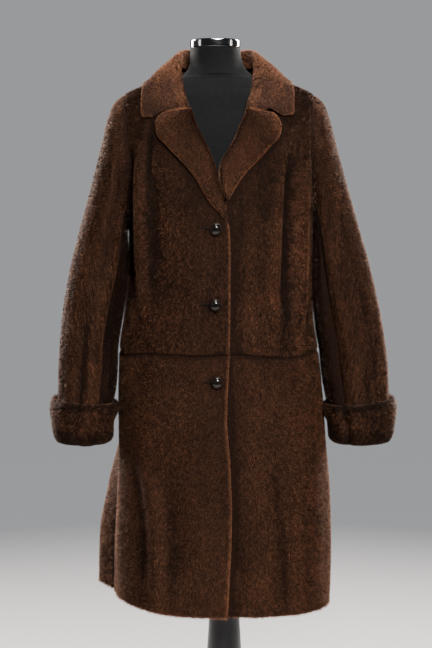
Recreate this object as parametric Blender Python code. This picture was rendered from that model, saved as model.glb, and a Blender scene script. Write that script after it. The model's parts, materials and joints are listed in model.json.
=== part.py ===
"""A knee-length coat of sheared fur, buttoned, on a dress form with no limbs.

Metres, +Z up. The coat's front faces -Y, and the wearer's right side is -X. The origin is on the floor,
below the coat's middle, on the underside of the stand's round base. Every fur piece is a hollow wall:
leather and pile together.
The body of the coat is one surface, made of level sections, and each panel is a part of it with its own wall.
"""

import math

import bpy
import numpy as np

# ---------------------------------------------------------------- driving sizes

WALL = 0.008  # leather and sheared pile
LAP_WALL = 0.006  # the same, pressed flat where the fronts overlap
SEAM = 0.0003  # gap between neighbouring pieces
SLEEVE_SEAM = 0.0005  # the same along the sleeves, whose seams twist
LAP_RISE = 0.002  # the top front stands this proud along its edge
LAP_SINK = 0.0049  # the under front lies this low below it
LAP_BLEND = 0.034  # width over which both come back to the body's surface
LAP_REACH = 0.034  # how far from the middle the fronts lie on each other
UNDER_EDGE_X = -0.030  # edge of the under front

UNDERARM_Z = 1.137
ARMHOLE_TOP_Z = 1.395
NECK_Z = 1.441

ROLL_WRAP = 0.009  # the lapel reaches this far round the front's cut edge
LAPEL_THICK = 0.0100
LAPEL_REST = 0.0014  # the lapel's underside above the front it lies on
COLLAR_THICK = 0.009
COLLAR_MIDDLE_X = -0.001
COLLAR_CLEAR = 0.0013  # the collar's underside above the shoulders

SLEEVE_END = 13.0  # last ring of the sleeve table
SLEEVE_ROUND = 0.40  # rough length once round a sleeve
FORM_GAP = 0.0016  # the coat's lining side above the form's shoulders

ARMHOLE_STEPS = 10
BODICE_STEPS = 6
SHOULDER_STEPS = 3
SKIRT_STEPS = 9
FRONT_COLUMNS = 14
BACK_COLUMNS = 19
COLLAR_STATIONS = 29

FUR = (0.105, 0.052, 0.030)
FUR_ROUGHNESS = 0.85

# The body's level sections, from the hem up to the neck. Half-widths to the wearer's right (-X) and left,
# depths to the front and back, and how square the section is (2 is an ellipse).
SECTION_COLUMNS = ("z", "right", "left", "front", "back", "square")
SECTIONS = (
    (0.425, 0.200, 0.218, 0.156, 0.176, 2.35),
    (0.520, 0.198, 0.220, 0.153, 0.172, 2.35),
    (0.630, 0.193, 0.217, 0.150, 0.164, 2.35),
    (0.740, 0.189, 0.207, 0.147, 0.154, 2.4),
    (0.840, 0.191, 0.200, 0.145, 0.146, 2.4),
    (0.915, 0.189, 0.191, 0.143, 0.140, 2.4),
    (0.980, 0.180, 0.182, 0.141, 0.137, 2.4),
    (1.060, 0.172, 0.180, 0.141, 0.136, 2.4),
    (1.137, 0.171, 0.179, 0.139, 0.137, 2.5),
    (1.190, 0.178, 0.186, 0.134, 0.137, 2.5),
    (1.260, 0.190, 0.194, 0.122, 0.133, 2.5),
    (1.320, 0.199, 0.203, 0.107, 0.120, 2.5),
    (1.364, 0.199, 0.202, 0.091, 0.098, 2.4),
    (1.395, 0.175, 0.178, 0.075, 0.079, 2.3),
    (1.415, 0.132, 0.134, 0.066, 0.068, 2.2),
    (1.432, 0.092, 0.090, 0.059, 0.064, 2.1),
    (1.446, 0.073, 0.071, 0.053, 0.060, 2.1),
)

# The armhole lies near a plane on each side: its distance from the middle at each height.
ARMHOLE_COLUMNS = ("z", "right", "left")
ARMHOLE = (
    (1.137, 0.171, 0.179),
    (1.200, 0.169, 0.176),
    (1.270, 0.167, 0.173),
    (1.330, 0.169, 0.172),
    (1.395, 0.175, 0.178),
)

# The top front's edge, from the hem to where the lapel begins.
FRONT_EDGE_COLUMNS = ("z", "x")
FRONT_EDGE = (
    (0.425, 0.0180),
    (0.560, 0.0250),
    (0.640, 0.0260),
    (0.725, 0.0225),
    (0.790, 0.0165),
    (0.845, 0.0180),
    (0.915, 0.0220),
    (1.100, 0.0230),
    (1.148, 0.0215),
    (1.166, 0.0160),
)

# Lapels, from the gorge down to the break: a point on the roll, and the one across from it on the free edge.
LAPEL_COLUMNS = ("roll_x", "roll_z", "edge_x", "edge_z")
LAPEL_RIGHT = (
    (-0.0470, 1.3650, -0.0970, 1.3560),
    (-0.0440, 1.3520, -0.1080, 1.3485),
    (-0.0400, 1.3380, -0.1145, 1.3350),
    (-0.0310, 1.3200, -0.1115, 1.3170),
    (-0.0220, 1.3020, -0.0975, 1.3010),
    (-0.0090, 1.2740, -0.0710, 1.2730),
    (-0.0020, 1.2530, -0.0510, 1.2510),
    (0.0010, 1.2330, -0.0370, 1.2310),
    (0.0070, 1.2130, -0.0260, 1.2110),
    (0.0120, 1.1950, -0.0140, 1.1930),
    (0.0145, 1.1800, -0.0010, 1.1780),
    (0.0160, 1.1680, 0.0100, 1.1665),
)
LAPEL_LEFT = (
    (0.0500, 1.3650, 0.1000, 1.3530),
    (0.0460, 1.3520, 0.1090, 1.3450),
    (0.0400, 1.3380, 0.1145, 1.3310),
    (0.0330, 1.3220, 0.1115, 1.3140),
    (0.0260, 1.3060, 0.0980, 1.2990),
    (0.0140, 1.2800, 0.0750, 1.2730),
    (0.0050, 1.2600, 0.0550, 1.2530),
    (0.0042, 1.2430, 0.0420, 1.2370),
    (0.0080, 1.2270, 0.0320, 1.2220),
    (0.0120, 1.2140, 0.0250, 1.2100),
    (0.0150, 1.2020, 0.0195, 1.2000),
)

# Collar stations for one side, from the centre back to the gorge: the roll's crest, the free edge in plan,
# the stand's foot and how much the fall bulges.
COLLAR_COLUMNS = ("roll_x", "roll_y", "roll_z", "edge_x", "edge_y", "foot_x", "foot_y", "foot_z", "bulge")
COLLAR = (
    (0.0000, 0.0700, 1.4790, 0.0000, 0.0980, 0.0000, 0.0560, 1.4435, 0.003),
    (0.0320, 0.0640, 1.4800, 0.0500, 0.0920, 0.0300, 0.0510, 1.4435, 0.005),
    (0.0540, 0.0450, 1.4800, 0.0960, 0.0680, 0.0540, 0.0360, 1.4435, 0.008),
    (0.0640, 0.0180, 1.4740, 0.1270, 0.0300, 0.0660, 0.0140, 1.4435, 0.010),
    (0.0660, -0.0120, 1.4580, 0.1350, -0.0100, 0.0670, -0.0090, 1.4410, 0.008),
    (0.0650, -0.0380, 1.4350, 0.1370, -0.0420, 0.0640, -0.0330, 1.4270, 0.005),
    (0.0620, -0.0620, 1.4080, 0.1375, -0.0620, 0.0610, -0.0570, 1.4040, 0.003),
    (0.0560, -0.0840, 1.3850, 0.1370, -0.0740, 0.0560, -0.0780, 1.3830, 0.001),
    (0.0500, -0.0950, 1.3710, 0.1270, -0.0825, 0.0510, -0.0900, 1.3700, 0.000),
)

# Sleeve rings from the shoulder to the cuff. Each is a level-ish oval between its outermost point and its
# innermost one, half as deep as it says, centred at y.
RING_COLUMNS = ("out_x", "out_z", "in_x", "in_z", "deep", "y")
SLEEVE_RIGHT = (
    (0.1750, 1.3950, 0.1710, 1.1370, 0.078, 0.000),
    (0.1960, 1.3770, 0.1765, 1.1180, 0.078, 0.000),
    (0.2090, 1.3450, 0.1810, 1.0970, 0.078, 0.000),
    (0.2190, 1.3050, 0.1845, 1.0740, 0.077, 0.000),
    (0.2320, 1.2550, 0.1870, 1.0480, 0.075, -0.004),
    (0.2480, 1.1930, 0.1890, 1.0170, 0.074, -0.008),
    (0.2660, 1.1280, 0.1920, 0.9830, 0.073, -0.013),
    (0.2830, 1.0580, 0.1960, 0.9470, 0.072, -0.018),
    (0.2950, 0.9880, 0.2010, 0.9110, 0.071, -0.022),
    (0.3010, 0.9200, 0.2045, 0.8770, 0.069, -0.027),
    (0.3035, 0.8650, 0.2065, 0.8450, 0.068, -0.032),
    (0.3040, 0.8180, 0.2080, 0.8100, 0.067, -0.037),
    (0.3030, 0.7830, 0.2090, 0.7780, 0.066, -0.040),
    (0.3010, 0.7500, 0.2095, 0.7460, 0.065, -0.042),
)
SLEEVE_LEFT = (
    (0.1780, 1.3950, 0.1790, 1.1370, 0.078, 0.000),
    (0.1980, 1.3780, 0.1850, 1.1180, 0.078, 0.000),
    (0.2100, 1.3480, 0.1895, 1.0970, 0.078, 0.000),
    (0.2200, 1.3110, 0.1935, 1.0740, 0.077, 0.000),
    (0.2320, 1.2650, 0.1965, 1.0480, 0.075, -0.004),
    (0.2480, 1.2080, 0.1990, 1.0170, 0.074, -0.008),
    (0.2660, 1.1450, 0.2020, 0.9830, 0.073, -0.013),
    (0.2850, 1.0800, 0.2060, 0.9470, 0.072, -0.018),
    (0.3020, 1.0100, 0.2100, 0.9110, 0.071, -0.022),
    (0.3150, 0.9400, 0.2140, 0.8770, 0.069, -0.027),
    (0.3225, 0.8750, 0.2160, 0.8450, 0.068, -0.031),
    (0.3240, 0.8200, 0.2180, 0.8100, 0.067, -0.034),
    (0.3230, 0.7850, 0.2190, 0.7780, 0.066, -0.036),
    (0.3210, 0.7500, 0.2190, 0.7460, 0.065, -0.038),
)

# Large folds of the body. A fold runs down from its top to its foot; "at" is its x on the front and back
# faces, and its y on the sides. A positive height is a ridge and a negative one a trough.
FOLD_COLUMNS = ("face", "top_z", "top_at", "foot_z", "foot_at", "bow", "height", "width")
FOLDS = (
    ("front", 1.300, -0.144, 0.960, -0.128, -0.006, 0.0050, 0.014),
    ("front", 1.290, -0.118, 1.060, -0.108, 0.000, -0.0030, 0.014),
    ("front", 1.280, 0.134, 0.985, 0.124, 0.000, -0.0130, 0.013),
    ("front", 1.270, 0.104, 1.000, 0.098, 0.004, 0.0040, 0.018),
    ("front", 0.760, -0.150, 0.440, -0.124, 0.020, 0.0060, 0.020),
    ("front", 0.720, -0.098, 0.460, -0.088, 0.010, -0.0040, 0.022),
    ("front", 0.720, 0.100, 0.480, 0.128, 0.004, -0.0050, 0.018),
    ("right", 0.800, 0.066, 0.300, 0.060, 0.000, 0.0380, 0.044),
    ("back", 1.280, -0.090, 0.980, -0.070, 0.000, -0.0070, 0.022),
    ("back", 1.260, 0.084, 1.000, 0.070, 0.000, -0.0080, 0.020),
    ("back", 0.840, -0.060, 0.380, -0.078, 0.000, -0.0080, 0.026),
    ("back", 0.860, 0.052, 0.380, 0.088, 0.000, -0.0090, 0.026),
    ("back", 0.820, 0.000, 0.380, 0.004, 0.000, 0.0060, 0.030),
)

# Folds along the sleeves: where they lie round the sleeve (0 outermost, 0.25 front, 0.5 innermost), the rings
# they run between, their height and their width as a share of the way round.
SLEEVE_FOLD_COLUMNS = ("round_top", "round_foot", "from_ring", "to_ring", "height", "width")
SLEEVE_FOLDS_RIGHT = (
    (0.300, 0.285, 3.0, 14.0, 0.0050, 0.030),
    (0.380, 0.345, 4.0, 14.0, -0.0060, 0.030),
    (0.215, 0.230, 0.5, 6.0, 0.0030, 0.030),
    (0.720, 0.700, 3.0, 12.0, -0.0050, 0.035),
)
SLEEVE_FOLDS_LEFT = (
    (0.340, 0.335, 0.8, 14.0, -0.0110, 0.024),
    (0.400, 0.400, 4.0, 10.0, 0.0040, 0.026),
    (0.280, 0.270, 2.0, 12.0, 0.0030, 0.030),
    (0.720, 0.700, 3.0, 12.0, -0.0050, 0.035),
)
SLEEVE_FRONT_SEAM = 0.35
SLEEVE_BACK_SEAM = 0.65

# The cuff's cross-section: how far up from the sleeve's end, how far out from the sleeve's face, and how
# much of the cuff's droop the point follows. The two rows run from the top of the cuff to its lip.
CUFF_COLUMNS = ("up", "out", "droop")
CUFF_OUTER = (
    (0.0735, 0.0016, 0.0),
    (0.0775, 0.0055, 0.0),
    (0.0735, 0.0110, 0.0),
    (0.0600, 0.0140, 0.1),
    (0.0400, 0.0150, 0.3),
    (0.0180, 0.0145, 0.6),
    (0.0020, 0.0120, 0.9),
    (-0.0070, 0.0050, 1.0),
    (-0.0085, -0.0020, 1.0),
    (-0.0040, -0.0076, 0.8),
)
CUFF_INNER = (
    (0.0700, 0.0012, 0.0),
    (0.0640, 0.0012, 0.0),
    (0.0560, 0.0012, 0.0),
    (0.0460, 0.0012, 0.0),
    (0.0340, 0.0012, 0.0),
    (0.0220, 0.0012, 0.0),
    (0.0110, 0.0012, 0.0),
    (-0.0006, 0.0012, 0.0),
    (-0.0006, -0.0030, 0.0),
    (-0.0006, -0.0076, 0.0),
)
CUFF_DROOP = {"right": 0.012, "left": 0.003}

# Dress form: level sections below the shoulders, and rings of the neck above them.
FORM_COLUMNS = ("z", "half_width", "front", "back", "x")
FORM_TORSO = (
    (0.744, 0.150, 0.098, 0.104, 0.0120),
    (0.750, 0.158, 0.106, 0.112, 0.0120),
    (0.770, 0.163, 0.111, 0.118, 0.0110),
    (0.840, 0.163, 0.110, 0.118, 0.0100),
    (0.920, 0.146, 0.104, 0.108, 0.0080),
    (1.010, 0.128, 0.100, 0.098, 0.0060),
    (1.100, 0.138, 0.112, 0.103, 0.0040),
    (1.180, 0.150, 0.118, 0.113, 0.0030),
    (1.260, 0.154, 0.106, 0.116, 0.0020),
    (1.320, 0.160, 0.091, 0.105, 0.0010),
    (1.362, 0.168, 0.076, 0.084, 0.0000),
)
FORM_SHOULDER_Z = (1.395, 1.407, 1.419, 1.427)
FORM_NECK = (
    (1.4300, 0.0640, 0.052, 0.055, -0.0010),
    (1.4380, 0.0560, 0.050, 0.052, -0.0020),
    (1.4500, 0.0500, 0.048, 0.048, -0.0035),
    (1.4650, 0.0478, 0.047, 0.047, -0.0050),
    (1.4790, 0.0470, 0.047, 0.047, -0.0055),
)
FORM_AROUND = 32

NECK_CAP_X = -0.0055
NECK_CAP_BASE_Z = 1.4793
NECK_CAP_PROFILE = (
    (0.0, 0.0),
    (0.0455, 0.0),
    (0.0468, 0.0013),
    (0.0468, 0.0125),
    (0.0450, 0.0148),
    (0.0, 0.0160),
)

POLE_X = 0.012
POLE_PROFILE = (
    (0.0, 0.0143),
    (0.0880, 0.0143),
    (0.0900, 0.0200),
    (0.0760, 0.0350),
    (0.0620, 0.0650),
    (0.0520, 0.1100),
    (0.0440, 0.1700),
    (0.0380, 0.2400),
    (0.0335, 0.3220),
    (0.0300, 0.3800),
    (0.0275, 0.4600),
    (0.0260, 0.5800),
    (0.0255, 0.7437),
    (0.0, 0.7437),
)
BASE_PROFILE = (
    (0.0, 0.0),
    (0.1700, 0.0),
    (0.1750, 0.0030),
    (0.1750, 0.0090),
    (0.1690, 0.0128),
    (0.0950, 0.0140),
    (0.0, 0.0140),
)

BUTTONS = {"button_top": (-0.0040, 1.147), "button_middle": (-0.0050, 1.010), "button_low": (-0.0020, 0.869)}
BUTTON_PROFILE = (
    (0.0, 0.0),
    (0.0098, 0.0),
    (0.0108, 0.0012),
    (0.0104, 0.0026),
    (0.0088, 0.0030),
    (0.0070, 0.0052),
    (0.0038, 0.0068),
    (0.0, 0.0073),
)
BUTTON_AROUND = 20
STAND_AROUND = 28


# ---------------------------------------------------------------- curves and meshes


def smooth(x, xs, ys):
    """A curve through the points (xs, ys) that never swings past them, straight beyond its ends."""
    xs, ys = np.asarray(xs, float), np.asarray(ys, float)
    slope = np.diff(ys) / np.diff(xs)
    product = slope[:-1] * slope[1:]
    total = np.where(product > 0, slope[:-1] + slope[1:], 1.0)
    inner = np.where(product > 0, 2 * product / total, 0.0)
    tangent = np.concatenate([slope[:1], inner, slope[-1:]])
    x = np.asarray(x, float)
    i = np.clip(np.searchsorted(xs, x) - 1, 0, len(slope) - 1)
    span = xs[i + 1] - xs[i]
    held = np.clip(x, xs[0], xs[-1])
    t = (held - xs[i]) / span
    value = (
        (1 + 2 * t) * (1 - t) ** 2 * ys[i]
        + t * (1 - t) ** 2 * span * tangent[i]
        + t * t * (3 - 2 * t) * ys[i + 1]
        + t * t * (t - 1) * span * tangent[i + 1]
    )
    beyond = np.where(x < xs[0], tangent[0], tangent[-1])
    return value + beyond * (x - held)


def step(x):
    """Rises softly from 0 at x = 0 to 1 at x = 1."""
    x = np.clip(x, 0.0, 1.0)
    return x * x * (3 - 2 * x)


def column(table, names, name):
    return np.array([row[names.index(name)] for row in table], float)


def unit(vectors):
    return vectors / np.linalg.norm(vectors, axis=-1, keepdims=True)


def grid_normals(grid, closed=False):
    """The normals of a grid of points, from the differences between neighbours along rows and columns."""
    if closed:
        padded = np.concatenate([grid[:, -1:], grid, grid[:, :1]], axis=1)
        across = padded[:, 2:] - padded[:, :-2]
    else:
        across = np.gradient(grid, axis=1)
    return unit(np.cross(across, np.gradient(grid, axis=0)))


def shell_mesh(outer, inner, closed=False):
    """Vertices and faces of a wall between two like grids. closed joins the last column to the first."""
    rows, columns, _ = outer.shape
    count = rows * columns
    index = np.arange(count).reshape(rows, columns)
    if closed:
        index = np.concatenate([index, index[:, :1]], axis=1)

    def quads(a, b, c, d):
        return np.stack([a.ravel(), b.ravel(), c.ravel(), d.ravel()], axis=1)

    face = quads(index[:-1, :-1], index[:-1, 1:], index[1:, 1:], index[1:, :-1])
    faces = [face, face[:, [0, 3, 2, 1]] + count]
    low, high = index[0], index[-1]
    faces.append(quads(low[:-1], low[:-1] + count, low[1:] + count, low[1:]))
    faces.append(quads(high[:-1], high[1:], high[1:] + count, high[:-1] + count))
    if not closed:
        first, last = index[:, 0], index[:, -1]
        faces.append(quads(first[:-1], first[1:], first[1:] + count, first[:-1] + count))
        faces.append(quads(last[:-1], last[:-1] + count, last[1:] + count, last[1:]))
    points = np.concatenate([outer.reshape(-1, 3), inner.reshape(-1, 3)])
    return points, np.concatenate(faces)


def signed_volume(points, faces):
    a, b, c, d = (points[faces[:, i]] for i in range(4))
    return (np.einsum("ij,ij->i", a, np.cross(b, c)) + np.einsum("ij,ij->i", a, np.cross(c, d))).sum()


def material(name, color, roughness, metallic=0.0):
    made = bpy.data.materials.new(name)
    made.use_nodes = True
    shader = made.node_tree.nodes["Principled BSDF"]
    shader.inputs["Base Color"].default_value = (*color, 1.0)
    shader.inputs["Roughness"].default_value = roughness
    shader.inputs["Metallic"].default_value = metallic
    return made


def add_object(name, points, faces, finish, sharp_degrees=50):
    mesh = bpy.data.meshes.new(name)
    mesh.from_pydata([tuple(point) for point in points], [], [tuple(map(int, face)) for face in faces])
    mesh.shade_smooth()
    mesh.set_sharp_from_angle(angle=math.radians(sharp_degrees))
    mesh.materials.append(material(name, *finish))
    made = bpy.data.objects.new(name, mesh)
    bpy.context.scene.collection.objects.link(made)
    return made


def add_shell(name, outer, inner, finish=(FUR, FUR_ROUGHNESS), closed=False):
    points, faces = shell_mesh(outer, inner, closed)
    if signed_volume(points, faces) < 0:
        faces = faces[:, [0, 3, 2, 1]]
    return add_object(name, points, faces, finish)


def add_turned(name, profile, around, finish, place=(0.0, 0.0, 0.0), axis=(0.0, 0.0, 1.0)):
    """A profile of (radius, height) points turned about its axis, which stands at place."""
    ring = 2 * np.pi * np.arange(around) / around
    axis = unit(np.array(axis, float))
    side = unit(np.cross(axis, (0.0, 0.0, 1.0) if abs(axis[2]) < 0.9 else (0.0, 1.0, 0.0)))
    up = np.cross(axis, side)
    spokes = np.cos(ring)[:, None] * side + np.sin(ring)[:, None] * up
    place = np.array(place, float)
    points = [place + axis * profile[0][1]]
    for radius, height in profile[1:-1]:
        points.extend(place + axis * height + spokes * radius)
    points.append(place + axis * profile[-1][1])
    last = len(points) - 1
    faces = []
    for i in range(around):
        j = (i + 1) % around
        faces.append((0, 1 + j, 1 + i))
        for level in range(len(profile) - 3):
            low, high = 1 + level * around, 1 + (level + 1) * around
            faces.append((low + i, low + j, high + j, high + i))
        top = 1 + (len(profile) - 3) * around
        faces.append((top + i, top + j, last))
    return add_object(name, points, faces, finish, sharp_degrees=40)


# ---------------------------------------------------------------- the body's surface


def section(z):
    zs = column(SECTIONS, SECTION_COLUMNS, "z")
    return [smooth(z, zs, column(SECTIONS, SECTION_COLUMNS, name)) for name in SECTION_COLUMNS[1:]]


def oval(theta, right, left, front, back, square):
    """A rounded oval: the point at angle theta, with its own reach on each of the four sides."""
    c, s = np.cos(theta), np.sin(theta)
    reach = (np.abs(c) ** square + np.abs(s) ** square) ** (-1 / square)
    return reach * c * np.where(c < 0, right, left), reach * s * np.where(s < 0, front, back)


def plain_body(theta, z):
    x, y = oval(theta, *section(z))
    return np.stack([x, y, z + 0 * x], axis=-1)


def fold_height(points):
    """How far the folds lift the surface at each point."""
    x, y, z = points[..., 0], points[..., 1], points[..., 2]
    total = np.zeros_like(x)
    towards = {"front": -y, "back": y, "right": -x - 0.10, "left": x - 0.10}
    for face, top_z, top_at, foot_z, foot_at, bow, height, width in FOLDS:
        along = (top_z - z) / (top_z - foot_z)
        centre = top_at + (foot_at - top_at) * along + bow * 4 * along * (1 - along)
        across = ((x if face in ("front", "back") else y) - centre) / width
        window = step(along / 0.3) * step((1 - along) / 0.2)
        total += height * np.exp(-across * across) * window * step(towards[face] / 0.05)
    return total


def body(theta, z, lift=0.0):
    """The coat's outer surface, lifted along its normal. Returns the points and their normals."""
    theta, z = np.broadcast_arrays(np.asarray(theta, float), np.asarray(z, float))
    turn, rise = 1e-3, 1e-4
    base = plain_body(theta, z)
    around = plain_body(theta + turn, z) - plain_body(theta - turn, z)
    upward = plain_body(theta, z + rise) - plain_body(theta, z - rise)
    normal = unit(np.cross(around, upward))
    return base + normal * (fold_height(base) + lift)[..., None], normal


def theta_at(x, z, face):
    """The angle at which the body's section at height z passes x, on its front or back face."""
    angles = np.linspace(-np.pi, 0, 361) if face == "front" else np.linspace(np.pi, 0, 361)
    x, z = np.broadcast_arrays(np.asarray(x, float), np.asarray(z, float))
    found = np.empty(x.shape)
    for place in np.ndindex(x.shape):
        along, _ = oval(angles, *section(z[place]))
        found[place] = np.interp(x[place], along, angles)
    return found


def armhole_theta(z, side, face):
    """The angle of the armhole's seam at height z, and that of the side below and above the armhole."""
    zs = column(ARMHOLE, ARMHOLE_COLUMNS, "z")
    reach = smooth(z, zs, column(ARMHOLE, ARMHOLE_COLUMNS, side))
    sign = -1 if side == "right" else 1
    inside = (z > UNDERARM_Z + 1e-6) & (z < ARMHOLE_TOP_Z - 1e-6)
    edge = {("right", "front"): -np.pi, ("right", "back"): np.pi}.get((side, face), 0.0)
    return np.where(inside, theta_at(sign * reach, z, face), edge)


def armhole_heights():
    """Heights of the armhole's points, closer together at its top and bottom."""
    middle, half = (UNDERARM_Z + ARMHOLE_TOP_Z) / 2, (ARMHOLE_TOP_Z - UNDERARM_Z) / 2
    return middle - half * np.cos(np.pi * np.arange(ARMHOLE_STEPS + 1) / ARMHOLE_STEPS)


def armhole_wall(z, side, face):
    """The armhole's edge at these heights: its outer points and its inner ones.

    The cut halves the angle between the body and the sleeve, which face each other at the underarm.
    """
    outer, normal = body(armhole_theta(z, side, face), z)
    middle, half = (UNDERARM_Z + ARMHOLE_TOP_Z) / 2, (ARMHOLE_TOP_Z - UNDERARM_Z) / 2
    share = np.arccos(np.clip((z - middle) / half, -1, 1)) / (2 * np.pi)
    share = share if face == "front" else 1 - share
    turn = 0.01
    around = sleeve_ring(side, share + turn, 0.5) - sleeve_ring(side, share - turn, 0.5)
    down = sleeve_ring(side, share, 1.0) - sleeve_ring(side, share, 0.0)
    facing = unit(np.cross(down, around)) if side == "right" else unit(np.cross(around, down))
    cut = unit(normal + facing)
    spread = np.clip((cut * normal).sum(axis=-1, keepdims=True), 0.75, 1.0)
    return outer, outer - cut * WALL / spread


# ---------------------------------------------------------------- fronts and back


def lapel_table(side):
    return LAPEL_RIGHT if side == "right" else LAPEL_LEFT


def lapel_lines(side, heights=None):
    """Roll and free-edge points, the lapel's width, and how far it wraps round the front's edge.

    heights are the roll's, where they aren't the table's own.
    """
    table = lapel_table(side)[::-1]
    roll_x, roll_z, edge_x, edge_z = [column(table, LAPEL_COLUMNS, name) for name in LAPEL_COLUMNS]
    heights = roll_z if heights is None else heights
    roll = np.stack([smooth(heights, roll_z, roll_x), heights], axis=1)
    edge = np.stack([smooth(heights, roll_z, edge_x), smooth(heights, roll_z, edge_z)], axis=1)
    width = np.linalg.norm(edge - roll, axis=1)
    return roll, edge, width, np.minimum(ROLL_WRAP, 0.35 * width)


def front_lift(side, x, z):
    """Height of a front over the body's surface, near the edge where the two fronts overlap."""
    if side == "right":
        return LAP_RISE * step((x + LAP_REACH + LAP_BLEND) / LAP_BLEND) * step((1.24 - z) / 0.05)
    return -LAP_SINK * step((LAP_REACH + LAP_BLEND - x) / LAP_BLEND) * step((1.25 - z) / 0.05)


def front_wall(side, x):
    """Wall of a front: thinner near the overlap."""
    inward = x if side == "right" else -x
    return WALL + (LAP_WALL - WALL) * step((inward + LAP_REACH + LAP_BLEND) / LAP_BLEND)


def inner_edge_x(side, z):
    """The front's own cut edge: down the overlap, along the lapel's roll and up the neckline."""
    sign = -1 if side == "right" else 1
    roll, _, _, wrap = lapel_lines(side)
    lapel_x, lapel_z = roll[:, 0] + sign * wrap, roll[:, 1]
    if side == "right":
        low_z, low_x = [column(FRONT_EDGE, FRONT_EDGE_COLUMNS, name) for name in FRONT_EDGE_COLUMNS]
    else:
        low_z, low_x = np.array([0.425, 1.150, 1.172]), np.array([UNDER_EDGE_X, UNDER_EDGE_X, 0.0185])
    neck_z = np.array([1.3705, 1.3888, 1.420, NECK_Z])
    neck_x = sign * np.array([0.0740, 0.0890, 0.0920, 0.0780])
    zs = np.concatenate([low_z, lapel_z, neck_z])
    xs = np.concatenate([low_x, lapel_x, neck_x])
    return np.interp(z, zs, xs)


def waist_z(theta):
    """The waist seam, slightly wavy as sewn fur is."""
    return 0.914 + 0.003 * np.sin(3.0 * theta + 0.6) - 0.002 * np.cos(7.0 * theta)


def hem_z(theta):
    """The hem: level, a little higher at the wearer's right side."""
    return 0.430 + 0.010 * step((-np.cos(theta) - 0.3) / 0.7) - 0.006 * step((np.cos(theta) - 0.3) / 0.7)


def panel_heights(theta, low, high, steps):
    share = np.arange(steps + 1)[:, None] / steps
    return low(theta) + (high(theta) - low(theta)) * share


def bodice_rows():
    """Heights of a bodice's rows above its waist seam: below the armhole, beside it and over the shoulder."""
    arm = armhole_heights()
    below = 0.914 + (UNDERARM_Z - 0.914) * np.arange(1, BODICE_STEPS) / BODICE_STEPS
    above = ARMHOLE_TOP_Z + (NECK_Z - ARMHOLE_TOP_Z) * np.arange(1, SHOULDER_STEPS + 1) / SHOULDER_STEPS
    return np.concatenate([below, arm, above])


def seam_shift(points, faces_y):
    """Moves a panel's side edge half a seam's gap to its own side."""
    points[..., 1] += faces_y * SEAM / 2
    return points


def front_grid(side, rows):
    """Angles of a front's grid: from its cut edge to its side seam, armhole or shoulder seam."""
    start = theta_at(inner_edge_x(side, rows), rows, "front")
    stop = armhole_theta(rows, side, "front")
    share = np.arange(FRONT_COLUMNS + 1) / FRONT_COLUMNS
    return start[:, None] + (stop - start)[:, None] * share


def close_armholes(outer, inner, rows, side, face, index):
    """Sets a panel's armhole edge to the shared armhole line."""
    arm = (rows > UNDERARM_Z - 1e-6) & (rows < ARMHOLE_TOP_Z + 1e-6)
    edge_outer, edge_inner = armhole_wall(rows[arm], side, face)
    outer[arm, index], inner[arm, index] = edge_outer, edge_inner


def front_bodice(side):
    rows = np.concatenate([[0.914], bodice_rows()])
    theta = front_grid(side, rows)
    z = np.repeat(rows[:, None], FRONT_COLUMNS + 1, axis=1)
    share = step((1.02 - z) / (1.02 - 0.914))
    z = z + (waist_z(theta) + SEAM / 2 - 0.914) * share
    x = plain_body(theta, z)[..., 0]
    outer, normal = body(theta, z, front_lift(side, x, z))
    inner = outer - normal * front_wall(side, x)[..., None]
    close_armholes(outer, inner, rows, side, "front", -1)
    for grid in (outer, inner):
        seam_shift(grid[:, -1], -1)
    return add_shell(f"front_bodice_{side}", outer, inner)


def front_skirt(side):
    share = np.arange(FRONT_COLUMNS + 1) / FRONT_COLUMNS
    stop = -np.pi if side == "right" else 0.0
    rows = np.linspace(0.430, 0.914, SKIRT_STEPS + 1)
    start = theta_at(inner_edge_x(side, rows), rows, "front")
    theta = start[:, None] + (stop - start)[:, None] * share
    z = panel_heights(theta, hem_z, lambda angle: waist_z(angle) - SEAM / 2, SKIRT_STEPS)
    x = plain_body(theta, z)[..., 0]
    outer, normal = body(theta, z, front_lift(side, x, z))
    inner = outer - normal * front_wall(side, x)[..., None]
    for grid in (outer, inner):
        seam_shift(grid[:, -1], -1)
    return add_shell(f"front_skirt_{side}", outer, inner)


def back_bodice():
    rows = np.concatenate([[0.914], bodice_rows()])
    start, stop = armhole_theta(rows, "right", "back"), armhole_theta(rows, "left", "back")
    share = np.arange(BACK_COLUMNS + 1) / BACK_COLUMNS
    theta = start[:, None] + (stop - start)[:, None] * share
    z = np.repeat(rows[:, None], BACK_COLUMNS + 1, axis=1)
    z = z + (waist_z(theta) + SEAM / 2 - 0.914) * step((1.02 - z) / (1.02 - 0.914))
    outer, normal = body(theta, z)
    inner = outer - normal * WALL
    close_armholes(outer, inner, rows, "right", "back", 0)
    close_armholes(outer, inner, rows, "left", "back", -1)
    for grid in (outer, inner):
        for edge in (0, -1):
            seam_shift(grid[:, edge], 1)
    return add_shell("back_bodice", outer, inner)


def back_skirt():
    theta = np.linspace(np.pi, 0.0, BACK_COLUMNS + 1)[None, :] + np.zeros((SKIRT_STEPS + 1, 1))
    z = panel_heights(theta, hem_z, lambda angle: waist_z(angle) - SEAM / 2, SKIRT_STEPS)
    outer, normal = body(theta, z)
    inner = outer - normal * WALL
    for grid in (outer, inner):
        for edge in (0, -1):
            seam_shift(grid[:, edge], 1)
    return add_shell("back_skirt", outer, inner)


# ---------------------------------------------------------------- lapels and collar


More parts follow.
